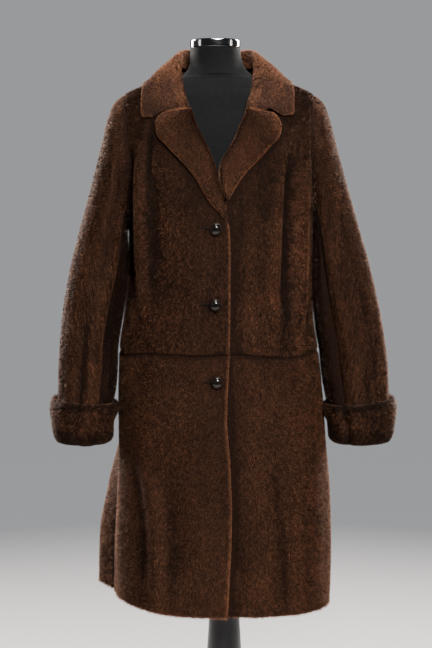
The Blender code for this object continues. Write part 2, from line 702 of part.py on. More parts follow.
def lapel_heights(side, rows):
    """The lapel's rows: its two ends, the front's own rows between them, and one more between each."""
    roll_z = column(lapel_table(side), LAPEL_COLUMNS, "roll_z")
    shared = rows[(rows > roll_z.min() + 0.004) & (rows < roll_z.max() - 0.004)]
    ends = np.concatenate([[roll_z.min()], shared, [roll_z.max()]])
    return np.sort(np.concatenate([ends, (ends[1:] + ends[:-1]) / 2]))


def on_front(side, x, z, height):
    """A point on a front, height above it."""
    lift = front_lift(side, x, z) + height
    return body(theta_at(x, z, "front"), z, lift)[0]


def lapel(side):
    """A folded sheet: from inside the front's edge, round the roll and out to the free edge."""
    rows = np.concatenate([[0.914], bodice_rows()])
    roll, edge, width, wrap = lapel_lines(side, lapel_heights(side, rows))
    across = (edge - roll) / width[:, None]
    thick = LAPEL_THICK * np.clip(width / 0.030, 0.40, 1.0)
    depth = WALL * np.clip(width / 0.030, 0.35, 1.0)
    near, far = np.minimum(0.004, 0.2 * width), np.minimum(0.006, 0.2 * width)
    zero, rest = 0 * width, LAPEL_REST + 0 * width
    for _ in range(4):
        cut_x = np.interp(roll[:, 1] + across[:, 1] * wrap, rows, inner_edge_x(side, rows))
        wrap = np.abs(cut_x - roll[:, 0]) / np.abs(across[:, 0])
    wrap = wrap - 3 * SEAM
    outer = (
        (wrap, -depth),
        (0.3 * wrap, -depth * 0.9),
        (zero, -0.2 * depth),
        (0.3 * near, 0.55 * thick),
        (near * 1.6, 0.95 * thick),
        (0.30 * width + 0.5 * wrap, thick),
        (0.50 * width, thick * 1.02),
        (0.72 * width, thick),
        (width - far, 0.92 * thick),
        (width - 0.25 * far, 0.6 * thick),
        (width, 0.22 * thick),
    )
    inner = (
        (wrap, -0.6 * depth),
        (wrap, -0.3 * depth),
        (wrap, 0.3 * rest),
        (wrap, rest),
        (wrap + 0.4 * near, rest),
        (0.32 * width + 0.5 * wrap, rest),
        (0.50 * width, rest),
        (0.72 * width, rest),
        (width - far, rest),
        (width - 0.5 * far, rest),
        (width - 0.2 * far, rest),
    )
    grids = []
    for skin in (outer, inner):
        columns = []
        for distance, height in skin:
            place = roll + across * distance[:, None]
            columns.append(on_front(side, place[:, 0], place[:, 1], height))
        grids.append(np.stack(columns, axis=1))
    return add_shell(f"lapel_{side}", *grids)


def shoulder_z(x, y):
    """Height of the body's surface over a point of the plan, in its upper part."""
    low, high = np.full(np.shape(x), 1.20), np.full(np.shape(x), 1.50)
    for _ in range(40):
        middle = (low + high) / 2
        right, left, front, back, square = section(middle)
        reach = np.abs(x / np.maximum(np.where(x < 0, right, left), 0.01)) ** square
        reach += np.abs(y / np.maximum(np.where(y < 0, front, back), 0.01)) ** square
        outside = reach > 1
        high, low = np.where(outside, middle, high), np.where(outside, low, middle)
    return (low + high) / 2


def collar():
    """The collar in one sweep round the neck: up the stand's inside, over the roll and down the fall."""
    half = np.array(COLLAR)
    sideways = [COLLAR_COLUMNS.index(name) for name in ("roll_x", "edge_x", "foot_x")]
    right = half[::-1].copy()
    right[:, sideways] *= -1
    both = np.concatenate([right[:-1], half])
    both[:, sideways] += COLLAR_MIDDLE_X
    at = np.linspace(0, len(both) - 1, COLLAR_STATIONS)
    table = np.stack([smooth(at, np.arange(len(both)), line) for line in both.T], axis=1)
    roll, edge_plan, foot, bulge = table[:, :3], table[:, 3:5], table[:, 5:8], table[:, 8:9]
    edge_z = shoulder_z(edge_plan[:, 0], edge_plan[:, 1])
    edge = np.concatenate([edge_plan, edge_z[:, None]], axis=1)
    outward = unit(np.concatenate([edge_plan - roll[:, :2], 0 * bulge], axis=1))
    up = np.array([0.0, 0.0, 1.0])
    crest = roll + outward * 0.006 + up * 0.002
    middle = (roll + edge) / 2 + up * (COLLAR_THICK + bulge) + outward * (0.004 + bulge)
    low = edge + up * COLLAR_THICK * 0.9 - outward * 0.004
    spine = np.stack([foot, roll, crest, middle, low, edge + up * 0.004 + outward * 0.002], axis=1)
    along = np.array([0.0, 0.2, 0.3, 0.62, 0.92, 1.0])
    places = np.array([0.0, 0.10, 0.20, 0.27, 0.36, 0.48, 0.62, 0.76, 0.88, 0.95, 1.0])
    outer = np.stack([smooth_rows(spine, along, place) for place in places], axis=1)
    normal = grid_normals(outer)
    if (normal[len(normal) // 2, 5] * up).sum() < 0:
        normal = -normal
    thick = COLLAR_THICK * np.array([0.7, 0.8, 0.9, 1, 1, 1, 1, 1, 0.85, 0.6, 0.3])
    front = np.clip(np.abs(at / (len(both) - 1) - 0.5) * 4 - 1, 0, 1)[:, None]
    stand_share = np.clip(1 - places / 0.3, 0, 1)[None, :]
    inner = outer - normal * (thick * (1 - 0.5 * front * stand_share))[..., None]
    stand, fall = slice(0, 5), slice(5, None)
    inner[:, stand] = lift_clear(inner[:, stand], 5 * SEAM - WALL)
    outer[:, stand] = lift_clear(outer[:, stand], 5 * SEAM - WALL)
    inner[:, fall] = lift_clear(inner[:, fall], COLLAR_CLEAR)
    outer[:, fall] = lift_clear(outer[:, fall], COLLAR_CLEAR + 0.3 * COLLAR_THICK)
    return add_shell("collar", outer, inner)


def lift_clear(points, clear):
    """Moves points that are nearer to the body's upper surface than clear out along its normal."""
    x, y, z = points[..., 0], points[..., 1], points[..., 2]
    reach = 0.001
    ground = shoulder_z(x, y)
    slope_x = (shoulder_z(x + reach, y) - shoulder_z(x - reach, y)) / (2 * reach)
    slope_y = (shoulder_z(x, y + reach) - shoulder_z(x, y - reach)) / (2 * reach)
    normal = unit(np.stack([-slope_x, -slope_y, np.ones_like(x)], axis=-1))
    short = np.maximum(clear - (z - ground) * normal[..., 2], 0.0)
    return points + normal * short[..., None]


def smooth_rows(spine, along, place):
    """The point at place along each row's own curve."""
    return np.stack([[smooth(place, along, row[:, i]) for i in range(3)] for row in spine])


# ---------------------------------------------------------------- sleeves and cuffs


def armhole_loop(side):
    """Outer and inner points of the armhole, all the way round: down its front and up its back."""
    down, up = armhole_heights()[::-1], armhole_heights()[1:-1]
    front, back = armhole_wall(down, side, "front"), armhole_wall(up, side, "back")
    return [np.concatenate([front[i], back[i]]) for i in (0, 1)]


def sleeve_ring(side, share, ring):
    """The plain oval of the sleeve at a ring number, which need not be whole."""
    table = SLEEVE_RIGHT if side == "right" else SLEEVE_LEFT
    sign = -1 if side == "right" else 1
    numbers = np.arange(len(table))
    out_x, out_z, in_x, in_z, deep, middle = [
        smooth(ring, numbers, column(table, RING_COLUMNS, name)) for name in RING_COLUMNS
    ]
    angle = 2 * np.pi * share
    c, s = np.cos(angle), np.sin(angle)
    square = 2.2
    reach = (np.abs(c) ** square + np.abs(s) ** square) ** (-1 / square)
    x = (out_x + in_x) / 2 + (out_x - in_x) / 2 * reach * c
    z = (out_z + in_z) / 2 + (out_z - in_z) / 2 * reach * c
    return np.stack([sign * x, middle - deep * reach * s, z + 0 * x], axis=-1)


def sleeve_folds(side, share, ring):
    total = np.zeros(np.broadcast(share, ring).shape)
    for top, foot, first, last, height, width in SLEEVE_FOLDS_RIGHT if side == "right" else SLEEVE_FOLDS_LEFT:
        along = (ring - first) / (last - first)
        across = (share - (top + (foot - top) * along) + 0.5) % 1.0 - 0.5
        total += height * np.exp(-((across / width) ** 2)) * step(along / 0.25) * step((1 - along) / 0.1)
    return total


def sleeve_surface(side, share, ring):
    """The sleeve's outer surface: the armhole's own line at ring 0, plain ovals from ring 4 on."""
    loop = armhole_loop(side)[0]
    around = np.arange(len(loop) + 1) / len(loop)
    loop = np.concatenate([loop, loop[:1]])
    share, ring = np.broadcast_arrays(np.asarray(share, float), np.asarray(ring, float))
    at_loop = np.stack([np.interp(share % 1.0, around, loop[:, i]) for i in range(3)], axis=-1)
    fade = np.clip(1 - ring / 4, 0, 1)[..., None] ** 2
    return sleeve_ring(side, share, ring) + fade * (at_loop - sleeve_ring(side, share, 0 * ring))


def sleeve_grids(side, shares):
    """Outer and inner grids of a sleeve over these shares of the way round, a row for each ring."""
    rings = np.arange(SLEEVE_END + 1)[:, None] + 0 * shares[None, :]
    share = shares[None, :] + 0 * rings
    turn = 0.004
    base = sleeve_surface(side, share, rings)
    around = sleeve_surface(side, share + turn, rings) - sleeve_surface(side, share - turn, rings)
    after, before = np.minimum(rings + 0.5, SLEEVE_END), np.maximum(rings - 0.5, 0)
    down = sleeve_surface(side, share, after) - sleeve_surface(side, share, before)
    normal = unit(np.cross(around, down))
    if side == "right":
        normal = -normal
    outer = base + normal * sleeve_folds(side, share, rings)[..., None]
    inner = outer - normal * WALL
    outer_loop, inner_loop = armhole_loop(side)
    around_loop = np.arange(len(outer_loop) + 1) / len(outer_loop)
    shift = np.array([SLEEVE_SEAM if side == "left" else -SLEEVE_SEAM, 0.0, 0.0])
    for grid, loop in ((outer, outer_loop), (inner, inner_loop)):
        loop = np.concatenate([loop, loop[:1]])
        seam = [np.interp(shares % 1.0, around_loop, loop[:, i]) for i in range(3)]
        grid[0] = np.stack(seam, axis=-1) + shift
    return outer, inner, normal


def sleeve(side):
    steps = 2 * ARMHOLE_STEPS
    half_gap = SLEEVE_SEAM / 2 / SLEEVE_ROUND
    first, last = round(SLEEVE_FRONT_SEAM * steps), round(SLEEVE_BACK_SEAM * steps)
    under = np.arange(first, last + 1) / steps
    upper = np.arange(last, first + steps + 1) / steps
    for name, shares in (("under", under), ("upper", upper)):
        shares = shares.astype(float)
        shares[0] += half_gap
        shares[-1] -= half_gap
        outer, inner, _ = sleeve_grids(side, shares)
        add_shell(f"sleeve_{name}_{side}", outer, inner)


def cuff(side):
    """A band turned back over the sleeve's end, with a lip under the cut."""
    steps = 2 * ARMHOLE_STEPS
    shares = np.arange(steps) / steps
    outer, _, normal = sleeve_grids(side, shares)
    spacing = np.linalg.norm(outer[-1] - outer[-2], axis=-1).mean()
    droop = CUFF_DROOP[side] * np.exp(-(((shares - 0.44) / 0.16) ** 2))
    grids = []
    for skin in (CUFF_OUTER, CUFF_INNER):
        rows = []
        for rise, reach, follows in skin:
            rings = np.clip(SLEEVE_END - (rise - follows * droop) / spacing, 0, SLEEVE_END + 1)
            low = np.minimum(rings.astype(int), int(SLEEVE_END) - 1)
            share = (rings - low)[:, None]
            every = np.arange(steps)
            face = outer[low, every] * (1 - share) + outer[low + 1, every] * share
            away = normal[low, every] * (1 - share) + normal[low + 1, every] * share
            rows.append(face + unit(away) * reach)
        grids.append(np.stack(rows))
    return add_shell(f"cuff_{side}", *grids, closed=True)


# ---------------------------------------------------------------- dress form, stand and buttons


def form_torso():
    angles = -2 * np.pi * np.arange(FORM_AROUND) / FORM_AROUND
    rings = []
    for z, half_width, front, back, x in FORM_TORSO:
        across, along = oval(angles, half_width, half_width, front, back, 2.15)
        rings.append(np.stack([across + x, along, z + 0 * along], axis=-1))
    for z in FORM_SHOULDER_Z:
        rings.append(body(angles, z + 0 * angles, -WALL - FORM_GAP)[0])
    for z, half_width, front, back, x in FORM_NECK:
        across, along = oval(angles, half_width, half_width, front, back, 2.0)
        rings.append(np.stack([across + x, along, z + 0 * along], axis=-1))
    rings = np.stack(rings)
    points = np.concatenate([rings.reshape(-1, 3), rings[:1].mean(axis=1), rings[-1:].mean(axis=1)])
    count, around = len(rings), FORM_AROUND
    faces = []
    for i in range(around):
        j = (i + 1) % around
        for level in range(count - 1):
            low, high = level * around, (level + 1) * around
            faces.append((low + j, low + i, high + i, high + j))
        faces.append((i, j, count * around))
        faces.append(((count - 1) * around + j, (count - 1) * around + i, count * around + 1))
    return add_object("form_torso", points, faces, ((0.020, 0.020, 0.023), 0.9))


def buttons():
    for name, (x, z) in BUTTONS.items():
        theta = theta_at(np.array(x), np.array(z), "front")
        place, normal = body(theta, np.array(z), front_lift("right", x, z) + 3 * SEAM)
        finish = ((0.012, 0.010, 0.010), 0.15)
        add_turned(name, BUTTON_PROFILE, BUTTON_AROUND, finish, place, normal)


def main():
    for old in list(bpy.data.objects):
        bpy.data.objects.remove(old, do_unlink=True)
    for side in ("right", "left"):
        front_bodice(side)
        front_skirt(side)
        lapel(side)
        sleeve(side)
        cuff(side)
    back_bodice()
    back_skirt()
    collar()
    buttons()
    form_torso()
    chrome = ((0.80, 0.80, 0.80), 0.12, 1.0)
    add_turned("form_neck_cap", NECK_CAP_PROFILE, STAND_AROUND, chrome, (NECK_CAP_X, 0.0, NECK_CAP_BASE_Z))
    black = ((0.015, 0.015, 0.016), 0.35)
    add_turned("stand_pole", POLE_PROFILE, STAND_AROUND, black, (POLE_X, 0.0, 0.0))
    add_turned("stand_base", BASE_PROFILE, STAND_AROUND, black, (POLE_X, 0.0, 0.0))


main()
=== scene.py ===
"""The looks of a knee-length coat of sheared fur, buttoned, on a dress form with no limbs.

Metres, +Z up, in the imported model's own frame: the coat's front faces -Y and the wearer's right side is -X.
Each panel of fur is a thin shell on its solid's form. The shell is the leather, and short tapered hairs grow
out of it as far as the solid reaches. A shell and its hairs are made together, from one grid of the panel.
"""

import json
import math

import bpy
import numpy as np
from bpy.props import FloatProperty, FloatVectorProperty, IntProperty, PointerProperty
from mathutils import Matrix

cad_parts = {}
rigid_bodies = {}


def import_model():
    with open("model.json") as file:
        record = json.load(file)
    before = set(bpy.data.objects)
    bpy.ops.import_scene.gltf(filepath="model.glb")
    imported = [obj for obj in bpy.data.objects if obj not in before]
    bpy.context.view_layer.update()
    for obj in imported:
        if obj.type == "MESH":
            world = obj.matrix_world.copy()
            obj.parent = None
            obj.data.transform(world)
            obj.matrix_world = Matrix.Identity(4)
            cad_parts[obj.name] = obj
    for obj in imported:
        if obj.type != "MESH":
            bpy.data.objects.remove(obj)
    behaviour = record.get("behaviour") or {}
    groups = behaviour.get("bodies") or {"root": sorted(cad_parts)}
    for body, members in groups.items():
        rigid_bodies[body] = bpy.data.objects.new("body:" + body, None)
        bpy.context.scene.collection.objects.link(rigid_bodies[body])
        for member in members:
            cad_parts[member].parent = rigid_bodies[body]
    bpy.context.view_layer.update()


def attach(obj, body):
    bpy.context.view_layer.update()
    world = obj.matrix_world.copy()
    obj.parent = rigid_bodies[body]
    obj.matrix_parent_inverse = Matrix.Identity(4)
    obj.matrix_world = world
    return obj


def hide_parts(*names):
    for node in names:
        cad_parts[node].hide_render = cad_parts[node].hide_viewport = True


bl_info = {
    "name": "Sheared fur coat",
    "version": (1, 0, 0),
    "blender": (4, 5, 0),
    "location": "3D View > Sidebar > Coat",
    "description": "Dresses the packed model of a fur coat: shells, pile, buttons, form and stand",
    "category": "Object",
}

for old in list(bpy.data.objects):
    bpy.data.objects.remove(old, do_unlink=True)
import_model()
BODY = "root"
SIDES = ("right", "left")

# ---------------------------------------------------------------- the coat's sizes, as in its solids

WALL = 0.008  # leather and pile
LAP_WALL = 0.006  # the same where the fronts overlap
SEAM = 0.0003  # gap between panels that are sewn together
SLEEVE_SEAM = 0.0005  # the same at the sleeves
LAP_RISE = 0.002  # how far the top front lies over the body's surface in the overlap
LAP_SINK = 0.0049  # how far the other one lies under it
LAP_REACH = 0.034  # the overlap's half-width
LAP_BLEND = 0.034  # beyond it each front comes back to the body's surface over this length
LAP_TOP = {"right": 1.24, "left": 1.25}  # and over LAP_FADE below this height
LAP_FADE = 0.05
UNDERARM_Z = 1.137
ARMHOLE_TOP_Z = 1.395
ARMHOLE_MIDDLE, ARMHOLE_HALF = (UNDERARM_Z + ARMHOLE_TOP_Z) / 2, (ARMHOLE_TOP_Z - UNDERARM_Z) / 2
NECK_Z = 1.441
WAIST_Z = 0.914
WAIST_WAVE_TOP = 1.02  # above this the bodice's rows are level
HEM_Z = 0.430
BODY_ROUND = 0.17  # rough radius of the body
ROLL_WRAP = 0.009  # how far a lapel's back reaches in past its roll
LAPEL_THICK = 0.0100
LAPEL_REST = 0.0014  # clearance under a lapel
LAPEL_FULL = 0.030  # a lapel narrower than this is thinner too
COLLAR_THICK = 0.009
COLLAR_MIDDLE_X = -0.001
COLLAR_CLEAR = 0.0013  # clearance under the collar's fall
SLEEVE_END = 13.0  # the last ring
SLEEVE_ROUND = 0.40  # rough length round a sleeve
SLEEVE_SQUARE = 2.2  # how square its rings are
SLEEVE_FRONT_SEAM = 0.35  # share of the way round
SLEEVE_BACK_SEAM = 0.65

# ---------------------------------------------------------------- how finely the shells are made

ARMHOLE_STEPS = 34
BODICE_STEPS = 30
SHOULDER_STEPS = 7
SKIRT_STEPS = 72
FRONT_COLUMNS = 44
BACK_COLUMNS = 72
LAPEL_STEPS = 46
LAPEL_PLACES = 41
COLLAR_STATIONS = 105
COLLAR_PLACES = 44
SLEEVE_STEPS = 104
SLEEVE_AROUND = 80
CUFF_STEPS = 34
FORM_AROUND = 72

# ---------------------------------------------------------------- the coat's tables

# The body's level sections, from the hem up to the neck. Half-widths to the wearer's right (-X) and left,
# depths to the front and back, and how square the section is (2 is an ellipse).
# Columns: z, right, left, front, back, square.
SECTIONS = (
    (0.425, 0.200, 0.218, 0.156, 0.176, 2.35),
    (0.520, 0.198, 0.220, 0.153, 0.172, 2.35),
    (0.630, 0.193, 0.217, 0.150, 0.164, 2.35),
    (0.740, 0.189, 0.207, 0.147, 0.154, 2.4),
    (0.840, 0.191, 0.200, 0.145, 0.146, 2.4),
    (0.915, 0.189, 0.191, 0.143, 0.140, 2.4),
    (0.980, 0.180, 0.182, 0.141, 0.137, 2.4),
    (1.060, 0.172, 0.180, 0.141, 0.136, 2.4),
    (1.137, 0.171, 0.179, 0.139, 0.137, 2.5),
    (1.190, 0.178, 0.186, 0.134, 0.137, 2.5),
    (1.260, 0.190, 0.194, 0.122, 0.133, 2.5),
    (1.320, 0.199, 0.203, 0.107, 0.120, 2.5),
    (1.364, 0.199, 0.202, 0.091, 0.098, 2.4),
    (1.395, 0.175, 0.178, 0.075, 0.079, 2.3),
    (1.415, 0.132, 0.134, 0.066, 0.068, 2.2),
    (1.432, 0.092, 0.090, 0.059, 0.064, 2.1),
    (1.446, 0.073, 0.071, 0.053, 0.060, 2.1),
)

# The armhole lies near a plane on each side: its distance from the middle at each height.
# Columns: z, right, left.
ARMHOLE = (
    (1.137, 0.171, 0.179),
    (1.200, 0.169, 0.176),
    (1.270, 0.167, 0.173),
    (1.330, 0.169, 0.172),
    (1.395, 0.175, 0.178),
)

# The top front's edge, from the hem to where the lapel begins, the under front's, and the neckline above the
# lapels, which is the same distance from the middle on both sides. Columns: z, x.
FRONT_EDGE = (
    (0.425, 0.0180),
    (0.560, 0.0250),
    (0.640, 0.0260),
    (0.725, 0.0225),
    (0.790, 0.0165),
    (0.845, 0.0180),
    (0.915, 0.0220),
    (1.100, 0.0230),
    (1.148, 0.0215),
    (1.166, 0.0160),
)
UNDER_EDGE = ((0.425, -0.030), (1.150, -0.030), (1.172, 0.0100))
NECKLINE = ((1.3705, 0.0740), (1.3888, 0.0890), (1.420, 0.0920), (NECK_Z, 0.0780))

# Lapels, from the gorge down to the break: a point on the roll, and the one across from it on the free edge.
# Columns: roll x, roll z, edge x, edge z.
LAPEL_RIGHT = (
    (-0.0470, 1.3650, -0.0970, 1.3560),
    (-0.0440, 1.3520, -0.1080, 1.3485),
    (-0.0400, 1.3380, -0.1145, 1.3350),
    (-0.0310, 1.3200, -0.1115, 1.3170),
    (-0.0220, 1.3020, -0.0975, 1.3010),
    (-0.0090, 1.2740, -0.0710, 1.2730),
    (-0.0020, 1.2530, -0.0510, 1.2510),
    (0.0010, 1.2330, -0.0370, 1.2310),
    (0.0070, 1.2130, -0.0260, 1.2110),
    (0.0120, 1.1950, -0.0140, 1.1930),
    (0.0145, 1.1800, -0.0010, 1.1780),
    (0.0160, 1.1680, 0.0100, 1.1665),
)
LAPEL_LEFT = (
    (0.0500, 1.3650, 0.1000, 1.3530),
    (0.0460, 1.3520, 0.1090, 1.3450),
    (0.0400, 1.3380, 0.1145, 1.3310),
    (0.0330, 1.3220, 0.1115, 1.3140),
    (0.0260, 1.3060, 0.0980, 1.2990),
    (0.0118, 1.2800, 0.0750, 1.2730),
    (0.0010, 1.2600, 0.0550, 1.2530),
    (-0.0003, 1.2430, 0.0420, 1.2370),
    (0.0024, 1.2270, 0.0320, 1.2220),
    (0.0076, 1.2140, 0.0250, 1.2100),
    (0.0112, 1.2020, 0.0195, 1.2000),
)

# Collar stations for one side, from the centre back to the gorge: the roll's crest, the free edge in plan,
# the stand's foot and how much the fall bulges.
# Columns: roll x, y, z, edge x, y, foot x, y, z, bulge.
COLLAR = (
    (0.0000, 0.0700, 1.4790, 0.0000, 0.0980, 0.0000, 0.0560, 1.4435, 0.003),
    (0.0320, 0.0640, 1.4800, 0.0500, 0.0920, 0.0300, 0.0510, 1.4435, 0.005),
    (0.0540, 0.0450, 1.4800, 0.0960, 0.0680, 0.0540, 0.0360, 1.4435, 0.002),
    (0.0640, 0.0180, 1.4740, 0.1250, 0.0300, 0.0660, 0.0140, 1.4435, 0.000),
    (0.0660, -0.0120, 1.4580, 0.1350, -0.0100, 0.0670, -0.0090, 1.4410, 0.001),
    (0.0650, -0.0380, 1.4350, 0.1370, -0.0420, 0.0640, -0.0330, 1.4270, 0.002),
    (0.0620, -0.0620, 1.4080, 0.1375, -0.0620, 0.0610, -0.0570, 1.4040, 0.003),
    (0.0560, -0.0840, 1.3850, 0.1365, -0.0780, 0.0560, -0.0780, 1.3830, 0.001),
    (0.0500, -0.0950, 1.3710, 0.1150, -0.0875, 0.0510, -0.0900, 1.3700, 0.000),
)
COLLAR_SIDEWAYS = (0, 3, 5)  # the columns that hold an x
# The collar's section. First, how far its points lie out from the table's lines and above them: the crest,
# the middle of the fall, its lowest turn and its free edge. Then where the section's six points lie along it,
# the places that its columns crowd round, and its thickness there as a share of COLLAR_THICK.
CREST, FALL_OUT, TURN_OUT, FREE_EDGE = (0.006, 0.002), 0.004, -0.004, (0.002, 0.004)
COLLAR_ALONG = (0.0, 0.2, 0.3, 0.62, 0.92, 1.0)
COLLAR_CROWDED = (0.0, 0.10, 0.20, 0.27, 0.36, 0.48, 0.62, 0.76, 0.88, 0.95, 1.0)
COLLAR_TAPER = (0.7, 0.8, 0.9, 1, 1, 1, 1, 1, 0.85, 0.6, 0.3)
FALL_FROM = 0.42  # the fall begins here along the section
GORGE_DROP = (0.0, 0.0014, 0.0088)  # how far the collar sinks to the lapel at its front ends

# Sleeve rings from the shoulder to the cuff. Each is a level-ish oval between its outermost point and its
# innermost one, half as deep as it says, centred at y. Columns: outermost x, z, innermost x, z, depth, y.
SLEEVE_RIGHT = (
    (0.1750, 1.3950, 0.1710, 1.1370, 0.078, 0.000),
    (0.1960, 1.3770, 0.1722, 1.1180, 0.078, 0.000),
    (0.2090, 1.3450, 0.1692, 1.0970, 0.078, 0.000),
    (0.2190, 1.3050, 0.1688, 1.0740, 0.077, 0.000),
    (0.2320, 1.2550, 0.1700, 1.0480, 0.075, -0.004),
    (0.2480, 1.1930, 0.1730, 1.0170, 0.074, -0.008),
    (0.2660, 1.1280, 0.1785, 0.9830, 0.073, -0.013),
    (0.2830, 1.0580, 0.1842, 0.9470, 0.072, -0.018),
    (0.2950, 0.9880, 0.1888, 0.9110, 0.071, -0.022),
    (0.3010, 0.9200, 0.1895, 0.8770, 0.069, -0.027),
    (0.3035, 0.8650, 0.1920, 0.8450, 0.068, -0.032),
    (0.3040, 0.8180, 0.1990, 0.8100, 0.067, -0.037),
    (0.3030, 0.7830, 0.2090, 0.7780, 0.066, -0.040),
    (0.3010, 0.7500, 0.2095, 0.7460, 0.065, -0.042),
)
SLEEVE_LEFT = (
    (0.1780, 1.3950, 0.1790, 1.1370, 0.078, 0.000),
    (0.1980, 1.3780, 0.1805, 1.1180, 0.078, 0.000),
    (0.2100, 1.3480, 0.1772, 1.0970, 0.078, 0.000),
    (0.2200, 1.3110, 0.1762, 1.0740, 0.077, 0.000),
    (0.2320, 1.2650, 0.1765, 1.0480, 0.075, -0.004),
    (0.2480, 1.2080, 0.1778, 1.0170, 0.074, -0.008),
    (0.2660, 1.1450, 0.1804, 0.9830, 0.073, -0.013),
    (0.2850, 1.0800, 0.1846, 0.9470, 0.072, -0.018),
    (0.3020, 1.0100, 0.1910, 0.9110, 0.071, -0.022),
    (0.3150, 0.9400, 0.1940, 0.8770, 0.069, -0.027),
    (0.3225, 0.8750, 0.1987, 0.8450, 0.068, -0.031),
    (0.3240, 0.8200, 0.2060, 0.8100, 0.067, -0.034),
    (0.3230, 0.7850, 0.2190, 0.7780, 0.066, -0.036),
    (0.3210, 0.7500, 0.2190, 0.7460, 0.065, -0.038),
)

# Large folds of the body. A fold runs down from its top to its foot, and "at" is its x on the front and back
# faces, and its y on the sides. A positive height is a ridge and a negative one a trough.
# Columns: face, top z, top at, foot z, foot at, bow, height, width.
FOLDS = (
    ("front", 1.300, -0.144, 0.960, -0.128, -0.006, 0.0050, 0.014),
    ("front", 1.290, -0.118, 1.060, -0.108, 0.000, -0.0030, 0.014),
    ("front", 1.290, 0.134, 0.985, 0.124, 0.000, -0.0160, 0.012),
    ("front", 1.270, 0.104, 1.000, 0.098, 0.004, 0.0040, 0.018),
    ("front", 0.760, -0.150, 0.440, -0.124, 0.020, 0.0060, 0.020),
    ("front", 0.720, -0.098, 0.460, -0.088, 0.010, -0.0040, 0.022),
    ("front", 0.720, 0.100, 0.480, 0.128, 0.004, -0.0050, 0.018),
    ("right", 0.790, 0.066, 0.300, 0.060, 0.000, 0.0300, 0.044),
    ("right", 0.680, 0.064, 0.200, 0.060, 0.000, 0.0180, 0.044),
    ("back", 1.280, -0.090, 0.980, -0.070, 0.000, -0.0070, 0.022),
    ("back", 1.260, 0.084, 1.000, 0.070, 0.000, -0.0080, 0.020),
    ("back", 0.840, -0.060, 0.380, -0.078, 0.000, -0.0080, 0.026),
    ("back", 0.860, 0.052, 0.380, 0.088, 0.000, -0.0090, 0.026),
    ("back", 0.820, 0.000, 0.380, 0.004, 0.000, 0.0060, 0.030),
)

# Folds along the sleeves, the large ones of the solids and then smaller ones: where they lie round the sleeve
# (0 outermost, 0.25 front, 0.5 innermost), the rings they run between, their height and their width, which is
# a share of the way round. Columns: round at the top, round at the foot, from ring, to ring, height, width.
SLEEVE_FOLDS = {
    "right": (
        (0.300, 0.285, 3.0, 14.0, 0.0050, 0.030),
        (0.380, 0.345, 4.0, 14.0, -0.0060, 0.030),
        (0.215, 0.230, 0.5, 6.0, 0.0030, 0.030),
        (0.720, 0.700, 3.0, 12.0, -0.0050, 0.035),
        (0.060, 0.045, 2.0, 9.0, -0.0026, 0.020),
        (0.150, 0.170, 5.0, 12.5, 0.0026, 0.024),
        (0.250, 0.225, 7.0, 13.5, -0.0030, 0.016),
        (0.930, 0.900, 3.0, 10.0, -0.0030, 0.024),
        (0.840, 0.850, 6.0, 13.0, 0.0028, 0.026),
    ),
    "left": (
        (0.340, 0.335, 0.8, 14.0, -0.0110, 0.024),
        (0.400, 0.400, 4.0, 10.0, 0.0040, 0.026),
        (0.280, 0.270, 2.0, 12.0, 0.0030, 0.030),
        (0.720, 0.700, 3.0, 12.0, -0.0050, 0.035),
        (0.070, 0.090, 3.0, 12.0, 0.0024, 0.022),
        (0.180, 0.160, 4.0, 11.0, -0.0028, 0.020),
        (0.240, 0.250, 8.0, 13.5, 0.0026, 0.016),
        (0.940, 0.910, 2.0, 9.0, -0.0028, 0.022),
        (0.850, 0.860, 7.0, 13.0, -0.0026, 0.026),
    ),
}

# The cuff's cross-section, from the top of the cuff to its lip. Columns: how far up from the sleeve's end,
# how far out from the sleeve's face, and how much of the cuff's droop the point follows.
CUFF_OUTER = (
    (0.0735, 0.0016, 0.0),
    (0.0775, 0.0055, 0.0),
    (0.0735, 0.0110, 0.0),
    (0.0600, 0.0140, 0.1),
    (0.0400, 0.0150, 0.3),
    (0.0180, 0.0145, 0.6),
    (0.0020, 0.0120, 0.9),
    (-0.0070, 0.0050, 1.0),
    (-0.0085, -0.0020, 1.0),
    (-0.0040, -0.0076, 0.8),
)
CUFF_INNER = (
    (0.0700, 0.0012, 0.0),
    (0.0640, 0.0012, 0.0),
    (0.0560, 0.0012, 0.0),
    (0.0460, 0.0012, 0.0),
    (0.0340, 0.0012, 0.0),
    (0.0220, 0.0012, 0.0),
    (0.0110, 0.0012, 0.0),
    (-0.0006, 0.0012, 0.0),
    (-0.0006, -0.0030, 0.0),
    (-0.0006, -0.0076, 0.0),
)
CUFF_DROOP = {"right": 0.012, "left": 0.003}
DROOP_MIDDLE, DROOP_WIDTH = 0.44, 0.16  # where round the cuff it droops, and over how much of it

